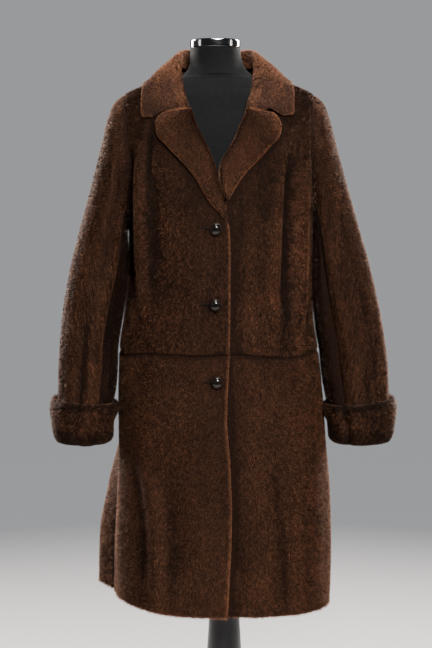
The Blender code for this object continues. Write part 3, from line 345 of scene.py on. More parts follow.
# Creases finer than the solids' own folds, in the same columns. They are soft, uneven and a few millimetres
# deep.
CREASES = (
    ("front", 1.345, -0.141, 0.985, -0.137, -0.004, 0.0090, 0.0095),
    ("front", 1.340, -0.162, 1.020, -0.160, -0.003, -0.0110, 0.0105),
    ("front", 1.325, 0.155, 0.940, 0.151, 0.003, 0.0120, 0.0105),
    ("front", 1.315, 0.131, 0.960, 0.124, 0.000, -0.0060, 0.0080),
    ("front", 1.230, 0.169, 0.930, 0.166, 0.002, -0.0035, 0.0060),
    ("front", 0.770, -0.146, 0.420, -0.118, 0.016, 0.0060, 0.0130),
    ("front", 0.760, -0.170, 0.470, -0.142, 0.010, -0.0045, 0.0150),
    ("front", 0.730, 0.106, 0.420, 0.130, 0.002, -0.0045, 0.0120),
    ("front", 0.720, 0.130, 0.410, 0.152, 0.002, 0.0042, 0.0130),
    ("front", 1.340, -0.122, 1.235, -0.131, 0.000, -0.0040, 0.0060),
    ("front", 1.120, -0.062, 0.925, -0.056, 0.004, 0.0015, 0.020),
    ("front", 1.190, 0.060, 0.930, 0.054, -0.003, 0.0014, 0.018),
    ("front", 0.905, 0.062, 0.610, 0.050, 0.004, 0.0020, 0.022),
    ("front", 0.885, -0.046, 0.560, -0.052, -0.004, 0.0018, 0.020),
    ("front", 0.620, 0.066, 0.330, 0.078, 0.003, 0.0022, 0.024),
    ("front", 0.540, 0.158, 0.330, 0.163, 0.000, -0.0022, 0.006),
    ("front", 0.640, -0.058, 0.330, -0.060, 0.003, -0.0020, 0.020),
    ("front", 1.010, 0.122, 0.900, 0.118, 0.000, -0.0024, 0.010),
    ("front", 0.965, 0.163, 0.870, 0.168, 0.000, -0.0026, 0.009),
    ("right", 1.120, -0.050, 0.930, -0.058, 0.004, -0.0030, 0.018),
    ("right", 0.880, -0.030, 0.460, -0.056, 0.004, 0.0030, 0.024),
    ("left", 1.110, -0.046, 0.930, -0.060, 0.004, -0.0030, 0.018),
    ("left", 0.860, 0.030, 0.420, 0.050, -0.004, 0.0036, 0.028),
    ("left", 0.760, -0.060, 0.420, -0.070, 0.004, -0.0028, 0.022),
    ("back", 1.330, -0.150, 1.180, -0.120, 0.004, -0.0030, 0.012),
    ("back", 1.340, 0.146, 1.190, 0.122, -0.004, -0.0028, 0.013),
    ("back", 1.150, 0.010, 0.940, 0.014, 0.002, -0.0020, 0.018),
    ("back", 0.700, -0.130, 0.380, -0.140, 0.004, 0.0030, 0.024),
    ("back", 0.680, 0.120, 0.380, 0.140, -0.003, -0.0030, 0.022),
)
PUCKER_LENGTH = 0.023  # from one pucker of the waist seam to the next
PUCKER_HEIGHT = 0.0011
PUCKER_REACH = 0.020


# ---------------------------------------------------------------- curves and noise


def smooth(x, xs, ys):
    """A cubic through the points (xs, ys) whose slopes are harmonic means, so it never swings past them."""
    xs, ys = np.asarray(xs, float), np.asarray(ys, float)
    slope = np.diff(ys) / np.diff(xs)
    product = slope[:-1] * slope[1:]
    total = np.where(product > 0, slope[:-1] + slope[1:], 1.0)
    inner = np.where(product > 0, 2 * product / total, 0.0)
    tangent = np.concatenate([slope[:1], inner, slope[-1:]])
    x = np.asarray(x, float)
    i = np.clip(np.searchsorted(xs, x) - 1, 0, len(slope) - 1)
    span = xs[i + 1] - xs[i]
    held = np.clip(x, xs[0], xs[-1])
    t = (held - xs[i]) / span
    value = (
        (1 + 2 * t) * (1 - t) ** 2 * ys[i]
        + t * (1 - t) ** 2 * span * tangent[i]
        + t * t * (3 - 2 * t) * ys[i + 1]
        + t * t * (t - 1) * span * tangent[i + 1]
    )
    beyond = np.where(x < xs[0], tangent[0], tangent[-1])
    return value + beyond * (x - held)


def step(x):
    """3x^2 - 2x^3, held at 0 below x = 0 and at 1 above x = 1."""
    x = np.clip(x, 0.0, 1.0)
    return x * x * (3 - 2 * x)


def unit(vectors):
    return vectors / np.maximum(np.linalg.norm(vectors, axis=-1, keepdims=True), 1e-12)


def dot(a, b):
    return (a * b).sum(axis=-1, keepdims=True)


def lattice(i, j, seed):
    """A fixed number from -1 to 1 for each whole-number place (i, j), from scrambled bits."""
    n = (i * 374761393 + j * 668265263 + seed * 974634777) & 0xFFFFFFFF
    n = ((n ^ (n >> 13)) * 1274126177) & 0xFFFFFFFF
    return (n ^ (n >> 16)) / 2147483647.5 - 1.0


def noise(s, t, seed):
    """Smooth noise from -1 to 1: lattice numbers blended by 6x^5 - 15x^4 + 10x^3 between whole numbers."""
    i, j = np.floor(s).astype(np.int64), np.floor(t).astype(np.int64)
    u, v = s - i, t - j
    u, v = u**3 * (u * (u * 6 - 15) + 10), v**3 * (v * (v * 6 - 15) + 10)
    low = lattice(i, j, seed) * (1 - u) + lattice(i + 1, j, seed) * u
    high = lattice(i, j + 1, seed) * (1 - u) + lattice(i + 1, j + 1, seed) * u
    return low * (1 - v) + high * v


def clouds(s, t, seed):
    """Three octaves of noise, each half the size and half the height of the one before."""
    fine, finest = noise(2 * s, 2 * t, seed + 1), noise(4 * s, 4 * t, seed + 2)
    return (noise(s, t, seed) + 0.5 * fine + 0.25 * finest) / 1.75


def grid_normals(grid, closed=False):
    """Cross product of the differences along a grid's rows and columns, made unit length."""
    if closed:
        padded = np.concatenate([grid[:, -1:], grid, grid[:, :1]], axis=1)
        across = padded[:, 2:] - padded[:, :-2]
    else:
        across = np.gradient(grid, axis=1)
    return unit(np.cross(across, np.gradient(grid, axis=0)))


# ---------------------------------------------------------------- the body's surface


def section(z):
    """The body's half-widths and depths and how square it is, at height z."""
    heights, *sizes = np.array(SECTIONS, float).T
    return [smooth(z, heights, size) for size in sizes]


def unit_oval(angle, square):
    """The point of |x|^n + |y|^n = 1 at this angle, where n is square."""
    c, s = np.cos(angle), np.sin(angle)
    reach = (np.abs(c) ** square + np.abs(s) ** square) ** (-1 / square)
    return reach * c, reach * s


def oval(theta, right, left, front, back, square):
    """|x/a|^n + |y/b|^n = 1 at the angle theta, where a and b are the reach on that side and n is square."""
    x, y = unit_oval(theta, square)
    return x * np.where(x < 0, right, left), y * np.where(y < 0, front, back)


def plain_body(theta, z):
    x, y = oval(theta, *section(z))
    return np.stack([x, y, z + 0 * x], axis=-1)


def fold_height(points, folds):
    """Sum of bells height * exp(-(distance across / width)^2), faded at their tops and feet."""
    x, y, z = points[..., 0], points[..., 1], points[..., 2]
    total = np.zeros_like(x)
    towards = {"front": -y, "back": y, "right": -x - 0.10, "left": x - 0.10}
    for face, top_z, top_at, foot_z, foot_at, bow, height, width in folds:
        along = (top_z - z) / (top_z - foot_z)
        centre = top_at + (foot_at - top_at) * along + bow * 4 * along * (1 - along)
        across = ((x if face in ("front", "back") else y) - centre) / width
        window = step(along / 0.3) * step((1 - along) / 0.2)
        total += height * np.exp(-across * across) * window * step(towards[face] / 0.05)
    return total


def puckers(theta, z):
    """Short upright waves along the waist seam, gone within PUCKER_REACH of it."""
    around = theta * BODY_ROUND / PUCKER_LENGTH
    wave = np.sin(2 * np.pi * around + 2.0 * noise(around * 0.6, 0 * around, 5))
    wave = wave * (0.6 + 0.4 * noise(around, z * 0, 6))
    return PUCKER_HEIGHT * wave * np.exp(-(((z - WAIST_Z) / PUCKER_REACH) ** 2))


def body(theta, z, lift=0.0):
    """The coat's outer surface: level ovals, with folds, creases, puckers and lift along the normal."""
    theta, z = np.broadcast_arrays(np.asarray(theta, float), np.asarray(z, float))
    turn, rise = 1e-3, 1e-4
    base = plain_body(theta, z)
    around = plain_body(theta + turn, z) - plain_body(theta - turn, z)
    upward = plain_body(theta, z + rise) - plain_body(theta, z - rise)
    normal = unit(np.cross(around, upward))
    height = fold_height(base, FOLDS) + fold_height(base, CREASES) + puckers(theta, z) + lift
    return base + normal * height[..., None], normal


def theta_at(x, z, face):
    """The angle whose oval passes x: x/a is known, so y/b is (1 - |x/a|^n)^(1/n) on that face."""
    right, left, _, _, square = section(z)
    across = np.clip(x / np.where(np.asarray(x) < 0, right, left), -1, 1)
    along = (1 - np.abs(across) ** square) ** (1 / square)
    return np.arctan2(-along if face == "front" else along, across)


def armhole_theta(z, side, face):
    """The angle of the armhole's seam at height z, and that of the side below and above the armhole."""
    heights, right, left = np.array(ARMHOLE, float).T
    reach = smooth(z, heights, right if side == "right" else left)
    sign = -1 if side == "right" else 1
    inside = (z > UNDERARM_Z + 1e-6) & (z < ARMHOLE_TOP_Z - 1e-6)
    edge = {("right", "front"): -np.pi, ("right", "back"): np.pi}.get((side, face), 0.0)
    return np.where(inside, theta_at(sign * reach, z, face), edge)


def armhole_heights():
    """Heights spaced as the cosine of even angles, so they crowd at the armhole's top and bottom."""
    return ARMHOLE_MIDDLE - ARMHOLE_HALF * np.cos(np.pi * np.arange(ARMHOLE_STEPS + 1) / ARMHOLE_STEPS)


def armhole_wall(z, side, face):
    """The armhole's edge at these heights, outer and inner: the cut halves the angle of body and sleeve."""
    outer, normal = body(armhole_theta(z, side, face), z)
    share = np.arccos(np.clip((z - ARMHOLE_MIDDLE) / ARMHOLE_HALF, -1, 1)) / (2 * np.pi)
    share = share if face == "front" else 1 - share
    turn = 0.01
    around = sleeve_ring(side, share + turn, 0.5) - sleeve_ring(side, share - turn, 0.5)
    down = sleeve_ring(side, share, 1.0) - sleeve_ring(side, share, 0.0)
    facing = unit(np.cross(down, around)) if side == "right" else unit(np.cross(around, down))
    cut = unit(normal + facing)
    return outer, outer - cut * WALL / np.clip(dot(cut, normal), 0.75, 1.0)


# ---------------------------------------------------------------- grids of the panels
#
# Each grid has rows by columns of points, an outer one and an inner one. A panel's rows go up and its columns
# go from the front edge round to the side. A sleeve's rows go down it and its columns go round.


def lapel_lines(side, heights=None):
    """Roll and free-edge points at these heights of the roll, the width between them, and the wrap."""
    table = (LAPEL_RIGHT if side == "right" else LAPEL_LEFT)[::-1]
    roll_x, roll_z, edge_x, edge_z = np.array(table, float).T
    heights = roll_z if heights is None else heights
    roll = np.stack([smooth(heights, roll_z, roll_x), heights], axis=1)
    edge = np.stack([smooth(heights, roll_z, edge_x), smooth(heights, roll_z, edge_z)], axis=1)
    width = np.linalg.norm(edge - roll, axis=1)
    return roll, edge, width, np.minimum(ROLL_WRAP, 0.35 * width)


def in_overlap(side, x):
    """1 where the fronts overlap, fading to 0 over LAP_BLEND beyond it."""
    inward = x if side == "right" else -x
    return step((inward + LAP_REACH + LAP_BLEND) / LAP_BLEND)


def front_lift(side, x, z):
    """Height of a front over the body's surface, which rises or sinks where the two fronts overlap."""
    height = LAP_RISE if side == "right" else -LAP_SINK
    return height * in_overlap(side, x) * step((LAP_TOP[side] - z) / LAP_FADE)


def inner_edge_x(side, z):
    """The front's own cut edge: down the overlap, along the lapel's roll and up the neckline."""
    sign = -1 if side == "right" else 1
    roll, _, _, wrap = lapel_lines(side)
    low_z, low_x = np.array(FRONT_EDGE if side == "right" else UNDER_EDGE, float).T
    neck_z, neck_x = np.array(NECKLINE, float).T
    heights = np.concatenate([low_z, roll[:, 1], neck_z])
    return np.interp(z, heights, np.concatenate([low_x, roll[:, 0] + sign * wrap, sign * neck_x]))


def waist_z(theta):
    """The waist seam wanders by 3 mm in three waves round the body and by 2 mm in seven."""
    return WAIST_Z + 0.003 * np.sin(3.0 * theta + 0.6) - 0.002 * np.cos(7.0 * theta)


def hem_z(theta):
    """The hem hangs 10 mm higher at the right side and 6 mm lower at the left."""
    return HEM_Z + 0.010 * step((-np.cos(theta) - 0.3) / 0.7) - 0.006 * step((np.cos(theta) - 0.3) / 0.7)


def bodice_rows():
    """Heights from the waist seam up: below the armhole, beside it and over the shoulder."""
    below = WAIST_Z + (UNDERARM_Z - WAIST_Z) * np.arange(BODICE_STEPS) / BODICE_STEPS
    above = ARMHOLE_TOP_Z + (NECK_Z - ARMHOLE_TOP_Z) * np.arange(1, SHOULDER_STEPS + 1) / SHOULDER_STEPS
    return np.concatenate([below, armhole_heights(), above])


def close_armholes(outer, inner, rows, side, face, index):
    arm = (rows > UNDERARM_Z - 1e-6) & (rows < ARMHOLE_TOP_Z + 1e-6)
    outer[arm, index], inner[arm, index] = armhole_wall(rows[arm], side, face)


def between(start, stop, columns):
    """Angles in even steps from start to stop, a row for each pair of them."""
    return start[:, None] + (stop - start)[:, None] * np.arange(columns + 1) / columns


def bodice_heights(theta, rows):
    """A bodice's heights: level rows, of which the lowest follow the waist seam."""
    z = rows[:, None] + 0 * theta
    return z + (waist_z(theta) + SEAM / 2 - WAIST_Z) * step((WAIST_WAVE_TOP - z) / (WAIST_WAVE_TOP - WAIST_Z))


def skirt_heights(theta):
    share = np.arange(SKIRT_STEPS + 1)[:, None] / SKIRT_STEPS
    return hem_z(theta) + (waist_z(theta) - SEAM / 2 - hem_z(theta)) * share


def front_grids(side, theta, z):
    x = plain_body(theta, z)[..., 0]
    outer, normal = body(theta, z, front_lift(side, x, z))
    wall = WALL + (LAP_WALL - WALL) * in_overlap(side, x)
    return outer, outer - normal * wall[..., None]


def part_seams(grids, columns, shift):
    """Moves these columns of both grids by shift along y, which leaves the gap of the side seams."""
    for grid in grids:
        grid[:, columns, 1] += shift
    return grids


def front_bodice_grids(side):
    rows = bodice_rows()
    start, stop = theta_at(inner_edge_x(side, rows), rows, "front"), armhole_theta(rows, side, "front")
    theta = between(start, stop, FRONT_COLUMNS)
    grids = front_grids(side, theta, bodice_heights(theta, rows))
    close_armholes(*grids, rows, side, "front", -1)
    return part_seams(grids, [-1], -SEAM / 2)


def front_skirt_grids(side):
    rows = np.linspace(HEM_Z, WAIST_Z, SKIRT_STEPS + 1)
    start = theta_at(inner_edge_x(side, rows), rows, "front")
    theta = between(start, -np.pi if side == "right" else 0.0, FRONT_COLUMNS)
    return part_seams(front_grids(side, theta, skirt_heights(theta)), [-1], -SEAM / 2)


def back_bodice_grids():
    rows = bodice_rows()
    theta = between(*(armhole_theta(rows, side, "back") for side in SIDES), BACK_COLUMNS)
    outer, normal = body(theta, bodice_heights(theta, rows))
    grids = outer, outer - normal * WALL
    for side, column in zip(SIDES, (0, -1)):
        close_armholes(*grids, rows, side, "back", column)
    return part_seams(grids, [0, -1], SEAM / 2)


def back_skirt_grids():
    theta = np.linspace(np.pi, 0.0, BACK_COLUMNS + 1)[None, :] + np.zeros((SKIRT_STEPS + 1, 1))
    outer, normal = body(theta, skirt_heights(theta))
    return part_seams((outer, outer - normal * WALL), [0, -1], SEAM / 2)


def on_front(side, x, z, height):
    return body(theta_at(x, z, "front"), z, front_lift(side, x, z) + height)[0]


def refine(skin, count):
    """A skin of (distance, height) columns read at count even places, bent a little by its neighbours."""
    last = len(skin) - 1
    wanted = np.linspace(0, last, count)
    pairs = np.array([[np.broadcast_to(value, skin[0][0].shape) for value in pair] for pair in skin])
    low = np.minimum(wanted.astype(int), last - 1)
    share = (wanted - low)[:, None, None]
    straight = pairs[low] * (1 - share) + pairs[low + 1] * share
    before, after = pairs[np.maximum(low - 1, 0)], pairs[np.minimum(low + 2, last)]
    bend = share * (1 - share) * ((pairs[low] + pairs[low + 1]) - (before + after)) / 8
    return straight + bend


def lapel_grids(side):
    """A folded sheet: from inside the front's edge, round the roll and out to the free edge."""
    rows = bodice_rows()
    low, high = lapel_lines(side)[0][[0, -1], 1]
    roll, edge, width, wrap = lapel_lines(side, np.linspace(low, high, LAPEL_STEPS + 1))
    across = (edge - roll) / width[:, None]
    thick = LAPEL_THICK * np.clip(width / LAPEL_FULL, 0.40, 1.0)
    depth = WALL * np.clip(width / LAPEL_FULL, 0.35, 1.0)
    near, far = np.minimum(0.004, 0.2 * width), np.minimum(0.006, 0.2 * width)
    zero, rest = 0 * width, LAPEL_REST + 0 * width
    for _ in range(4):
        cut_x = np.interp(roll[:, 1] + across[:, 1] * wrap, rows, inner_edge_x(side, rows))
        wrap = np.abs(cut_x - roll[:, 0]) / np.abs(across[:, 0])
    wrap = wrap - 3 * SEAM
    outer = (
        (wrap, -depth),
        (0.3 * wrap, -depth * 0.9),
        (zero, -0.2 * depth),
        (0.3 * near, 0.55 * thick),
        (near * 1.6, 0.95 * thick),
        (0.30 * width + 0.5 * wrap, thick),
        (0.50 * width, thick * 1.02),
        (0.72 * width, thick),
        (width - far, 0.92 * thick),
        (width - 0.25 * far, 0.6 * thick),
        (width, 0.22 * thick),
    )
    inner = (
        (wrap, -0.6 * depth),
        (wrap, -0.3 * depth),
        (wrap, 0.3 * rest),
        (wrap, rest),
        (wrap + 0.4 * near, rest),
        (0.32 * width + 0.5 * wrap, rest),
        (0.50 * width, rest),
        (0.72 * width, rest),
        (width - far, rest),
        (width - 0.5 * far, rest),
        (width - 0.2 * far, rest),
    )
    grids = []
    for skin in (outer, inner):
        distance, height = np.moveaxis(refine(skin, LAPEL_PLACES), 1, 0)
        place = roll[None] + across[None] * distance[..., None]
        grids.append(np.moveaxis(on_front(side, place[..., 0], place[..., 1], height), 0, 1))
    return grids


def shoulder_z(x, y):
    """Height of the body's surface over a point of the plan, by halving the range it can lie in."""
    low, high = np.full(np.shape(x), 1.20), np.full(np.shape(x), 1.50)
    for _ in range(26):
        middle = (low + high) / 2
        right, left, front, back, square = section(middle)
        reach = np.abs(x / np.maximum(np.where(x < 0, right, left), 0.01)) ** square
        reach += np.abs(y / np.maximum(np.where(y < 0, front, back), 0.01)) ** square
        outside = reach > 1
        high, low = np.where(outside, middle, high), np.where(outside, low, middle)
    return (low + high) / 2


def lift_clear(points, clear):
    """Moves points that are nearer to the body's upper surface than clear out along its normal."""
    x, y, z = points[..., 0], points[..., 1], points[..., 2]
    reach = 0.001
    ground = shoulder_z(x, y)
    slope_x = (shoulder_z(x + reach, y) - shoulder_z(x - reach, y)) / (2 * reach)
    slope_y = (shoulder_z(x, y + reach) - shoulder_z(x, y - reach)) / (2 * reach)
    normal = unit(np.stack([-slope_x, -slope_y, np.ones_like(x)], axis=-1))
    short = np.maximum(clear - (z - ground) * normal[..., 2], 0.0)
    return points + normal * short[..., None]


def collar_grids():
    """The collar in one sweep round the neck: up the stand's inside, over the roll and down the fall."""
    half = np.array(COLLAR)
    right = half[::-1].copy()
    right[:, COLLAR_SIDEWAYS] *= -1
    both = np.concatenate([right[:-1], half])
    both[:, COLLAR_SIDEWAYS] += COLLAR_MIDDLE_X
    at = np.linspace(0, len(both) - 1, COLLAR_STATIONS)
    from_back = np.abs(at / (len(both) - 1) - 0.5) * 2
    table = np.stack([smooth(at, np.arange(len(both)), line) for line in both.T], axis=1)
    roll, edge_plan, foot, bulge = table[:, :3], table[:, 3:5], table[:, 5:8], table[:, 8:9]
    edge_z = shoulder_z(edge_plan[:, 0], edge_plan[:, 1])
    edge = np.concatenate([edge_plan, edge_z[:, None]], axis=1)
    outward = unit(np.concatenate([edge_plan - roll[:, :2], 0 * bulge], axis=1))
    up = np.array([0.0, 0.0, 1.0])
    crest = roll + outward * CREST[0] + up * CREST[1]
    middle = (roll + edge) / 2 + up * (COLLAR_THICK + bulge) + outward * (FALL_OUT + bulge)
    turn = edge + up * COLLAR_THICK * 0.9 + outward * TURN_OUT
    free_edge = edge + up * FREE_EDGE[1] + outward * FREE_EDGE[0]
    spine = np.stack([foot, roll, crest, middle, turn, free_edge], axis=1)
    crowded = COLLAR_CROWDED
    places = np.interp(np.linspace(0, len(crowded) - 1, COLLAR_PLACES), np.arange(len(crowded)), crowded)
    outer = np.stack([[smooth(places, COLLAR_ALONG, row[:, i]) for i in range(3)] for row in spine])
    outer = np.moveaxis(outer, 1, 2)
    gorge = np.clip((from_back - 0.90) / 0.10, 0, 1)[:, None] ** 2
    outer -= (step((0.74 - places) / 0.16)[None, :] * gorge)[..., None] * GORGE_DROP
    normal = grid_normals(outer)
    if normal[len(normal) // 2, len(places) // 2, 2] < 0:
        normal = -normal
    thick = COLLAR_THICK * np.interp(places, crowded, COLLAR_TAPER)
    front = np.clip(from_back * 2 - 1, 0, 1)[:, None]
    stand_share = np.clip(1 - places / COLLAR_ALONG[2], 0, 1)[None, :]
    inner = outer - normal * (thick * (1 - 0.5 * front * stand_share))[..., None]
    stand, fall = places < FALL_FROM, places >= FALL_FROM
    for grid in (inner, outer):
        grid[:, stand] = lift_clear(grid[:, stand], 5 * SEAM - WALL)
    inner[:, fall] = lift_clear(inner[:, fall], COLLAR_CLEAR)
    outer[:, fall] = lift_clear(outer[:, fall], COLLAR_CLEAR + 0.3 * COLLAR_THICK)
    return outer, inner


def armhole_loop(side):
    """Outer and inner points of the armhole, all the way round: down its front and up its back."""
    down, up = armhole_heights()[::-1], armhole_heights()[1:-1]
    front, back = armhole_wall(down, side, "front"), armhole_wall(up, side, "back")
    return [np.concatenate([front[i], back[i], front[i][:1]]) for i in (0, 1)]


def sleeve_ring(side, share, ring):
    """An oval between the ring's outermost and innermost points, at share of the way round."""
    table = np.array(SLEEVE_RIGHT if side == "right" else SLEEVE_LEFT, float)
    numbers = np.arange(len(table))
    out_x, out_z, in_x, in_z, deep, middle = [smooth(ring, numbers, values) for values in table.T]
    across, along = unit_oval(2 * np.pi * share, SLEEVE_SQUARE)
    x = (out_x + in_x) / 2 + (out_x - in_x) / 2 * across
    z = (out_z + in_z) / 2 + (out_z - in_z) / 2 * across
    return np.stack([(-x if side == "right" else x), middle - deep * along, z + 0 * x], axis=-1)


def sleeve_folds(side, share, ring):
    """Sum of bells height * exp(-(distance round / width)^2), faded at their tops and feet."""
    total = np.zeros(np.broadcast(share, ring).shape)
    for top, foot, first, last, height, width in SLEEVE_FOLDS[side]:
        along = (ring - first) / (last - first)
        across = (share - (top + (foot - top) * along) + 0.5) % 1.0 - 0.5
        total += height * np.exp(-((across / width) ** 2)) * step(along / 0.25) * step((1 - along) / 0.1)
    return total


def on_loop(loop, share):
    """Points of an armhole's loop at these shares of the way round."""
    around = np.linspace(0, 1, len(loop))
    return np.stack([np.interp(share % 1.0, around, loop[:, i]) for i in range(3)], axis=-1)


def sleeve_surface(side, share, ring, loop):
    """Plain ovals, drawn to the armhole's own line by (1 - ring / 4)^2 over the first four rings."""
    fade = np.clip(1 - ring / 4, 0, 1)[..., None] ** 2
    return sleeve_ring(side, share, ring) + fade * (on_loop(loop, share) - sleeve_ring(side, share, 0 * ring))


def sleeve_grids(side, shares):
    """Outer and inner grids of a sleeve at these shares of the way round, and the outer one's normals."""
    outer_loop, inner_loop = armhole_loop(side)
    ring, share = np.meshgrid(np.linspace(0, SLEEVE_END, SLEEVE_STEPS + 1), shares, indexing="ij")
    turn = 0.004

    def surface(at_share, at_ring):
        return sleeve_surface(side, at_share, at_ring, outer_loop)

    around = surface(share + turn, ring) - surface(share - turn, ring)
    down = surface(share, np.minimum(ring + 0.5, SLEEVE_END)) - surface(share, np.maximum(ring - 0.5, 0))
    normal = unit(np.cross(down, around) if side == "right" else np.cross(around, down))
    outer = surface(share, ring) + normal * sleeve_folds(side, share, ring)[..., None]
    inner = outer - normal * WALL
    shift = np.array([SLEEVE_SEAM if side == "left" else -SLEEVE_SEAM, 0.0, 0.0])
    outer[0], inner[0] = on_loop(outer_loop, shares) + shift, on_loop(inner_loop, shares) + shift
    return outer, inner, normal


def sleeve_panel_grids(side, part):
    first, last = SLEEVE_FRONT_SEAM, SLEEVE_BACK_SEAM
    if part == "upper":
        first, last = last, 1 + first
    shares = np.linspace(first, last, round((last - first) * SLEEVE_AROUND) + 1)
    half_gap = SLEEVE_SEAM / 2 / SLEEVE_ROUND
    shares[[0, -1]] += [half_gap, -half_gap]
    return sleeve_grids(side, shares)[:2]


def cuff_grids(side):
    """A band turned back over the sleeve's end, with a lip under the cut."""
    every = np.arange(SLEEVE_AROUND)
    shares = every / SLEEVE_AROUND
    outer, _, normal = sleeve_grids(side, shares)
    spacing = np.linalg.norm(outer[-1] - outer[-2], axis=-1).mean()
    droop = CUFF_DROOP[side] * np.exp(-(((shares - DROOP_MIDDLE) / DROOP_WIDTH) ** 2))
    grids = []
    for skin in (CUFF_OUTER, CUFF_INNER):
        wanted = np.linspace(0, len(skin) - 1, CUFF_STEPS)
        rises, reaches, follow = [smooth(wanted, np.arange(len(skin)), line) for line in np.array(skin).T]
        at = SLEEVE_STEPS - (rises[:, None] - follow[:, None] * droop) / spacing
        at = np.clip(at, 0, SLEEVE_STEPS + 0.99)
        low = np.minimum(at.astype(int), SLEEVE_STEPS - 1)
        share = (at - low)[..., None]
        face = outer[low, every] * (1 - share) + outer[low + 1, every] * share
        away = normal[low, every] * (1 - share) + normal[low + 1, every] * share
        grids.append(face + unit(away) * reaches[:, None, None])
    return grids


# ---------------------------------------------------------------- form, stand and buttons: their own tables

# The form's level rings. Columns: z, half-width, front, back, x of the middle.
FORM_TORSO = (
    (0.744, 0.150, 0.098, 0.104, 0.0120),
    (0.750, 0.158, 0.106, 0.112, 0.0120),
    (0.770, 0.163, 0.111, 0.118, 0.0110),
    (0.840, 0.163, 0.110, 0.118, 0.0100),
    (0.920, 0.146, 0.104, 0.108, 0.0080),
    (1.010, 0.128, 0.100, 0.098, 0.0060),
    (1.100, 0.138, 0.112, 0.103, 0.0040),
    (1.180, 0.150, 0.118, 0.113, 0.0030),
    (1.260, 0.154, 0.106, 0.116, 0.0020),
    (1.320, 0.160, 0.091, 0.105, 0.0010),
    (1.362, 0.168, 0.076, 0.084, 0.0000),
)
FORM_SHOULDER_Z = (1.395, 1.407, 1.419, 1.427)
FORM_NECK = (
    (1.4300, 0.0640, 0.052, 0.055, -0.0010),
    (1.4380, 0.0560, 0.050, 0.052, -0.0020),
    (1.4500, 0.0500, 0.048, 0.048, -0.0035),
    (1.4650, 0.0478, 0.047, 0.047, -0.0050),
    (1.4790, 0.0470, 0.047, 0.047, -0.0055),
)
FORM_GAP = 0.0016
NECK_SEAM_Z = 1.4265  # where the neck block's cover meets the torso's
SEAM_DEPTH, SEAM_WIDTH = 0.0009, 0.0011  # the groove there

NECK_CAP_X = -0.0055
NECK_CAP_BASE_Z = 1.4793
NECK_CAP_PROFILE = (
    (0.0000, 0.0000),
    (0.0440, 0.0000),
    (0.0462, 0.0005),
    (0.0468, 0.0018),
    (0.0468, 0.0070),
    (0.0468, 0.0120),
    (0.0464, 0.0134),
    (0.0450, 0.0146),
    (0.0420, 0.0152),
    (0.0250, 0.0158),
    (0.0000, 0.0160),
)

POLE_X = 0.012
POLE_PROFILE = (
    (0.0000, 0.0143),
    (0.0870, 0.0143),
    (0.0892, 0.0150),
    (0.0900, 0.0170),
    (0.0896, 0.0200),
    (0.0840, 0.0270),
    (0.0760, 0.0350),
    (0.0680, 0.0490),
    (0.0620, 0.0650),
    (0.0520, 0.1100),
    (0.0440, 0.1700),
    (0.0380, 0.2400),
    (0.0335, 0.3220),
    (0.0300, 0.3800),
    (0.0275, 0.4600),
    (0.0260, 0.5800),
    (0.0255, 0.7437),
    (0.0000, 0.7437),
)
BASE_PROFILE = (
    (0.0000, 0.0000),
    (0.1700, 0.0000),
    (0.1728, 0.0006),
    (0.1745, 0.0018),
    (0.1750, 0.0036),
    (0.1750, 0.0086),
    (0.1742, 0.0104),
    (0.1722, 0.0118),
    (0.1690, 0.0126),
    (0.1300, 0.0134),
    (0.0950, 0.0139),
    (0.0000, 0.0140),
)

BUTTONS = {"top": (-0.0040, 1.147), "middle": (-0.0050, 1.010), "low": (-0.0020, 0.869)}
BUTTON_PROFILE = (
    (0.0000, 0.0002),
    (0.0086, 0.0002),
    (0.0092, 0.0008),
    (0.0092, 0.0026),
    (0.0086, 0.0036),
    (0.0074, 0.0048),
    (0.0058, 0.0058),
    (0.0040, 0.0065),
    (0.0020, 0.0069),
    (0.0000, 0.0070),
)
RIM_RADIUS, RIM_TUBE, RIM_HEIGHT = 0.0098, 0.0009, 0.0016
SLIT_HALF = (0.0095, 0.0012)
SLIT_FROM_BUTTON = (-0.0185, 0.0012)

# ---------------------------------------------------------------- the stage's own tables

BACKDROP = (0.78, 0.79, 0.82)
FLOOR_RADIUS, FLOOR_SIDES = 9.0, 96
# Softboxes: name, place, target, width and height, the setting that gives its power, its share, and colour.
LIGHTS = (
    ("key", (0.55, -2.5, 2.65), (0.0, 0.0, 0.95), (0.7, 0.7), "key", 1.30, (1.0, 0.97, 0.93)),
    ("top", (0.2, -0.4, 3.2), (0.0, 0.0, 1.2), (1.0, 0.8), "key", 0.45, (1.0, 1.0, 1.0)),
    ("side right", (2.3, -0.5, 1.5), (0.1, 0.0, 1.0), (0.4, 1.6), "key", 0.06, (1.0, 0.95, 0.9)),
    ("side left", (-2.3, -0.6, 1.5), (-0.1, 0.0, 1.0), (0.4, 1.6), "key", 0.05, (1.0, 0.95, 0.9)),
    ("rim right", (1.6, 1.5, 1.9), (0.1, 0.0, 1.1), (0.4, 1.8), "rim", 1.0, (1.0, 0.93, 0.88)),
    ("rim left", (-1.6, 1.4, 1.9), (-0.1, 0.0, 1.1), (0.4, 1.8), "rim", 1.0, (1.0, 0.93, 0.88)),
)
CAMERA_PLACE, CAMERA_DOWN, FILM = (-0.004, -2.65, 1.2436), 6.1, 36.0  # degrees below level, and mm


# ---------------------------------------------------------------- settings


def number(name, description, default, **more):
    return FloatProperty(name=name, description=description, default=default, **more)


def colour(name, description, default):
    return FloatVectorProperty(name=name, description=description, default=default, size=3, subtype="COLOR")


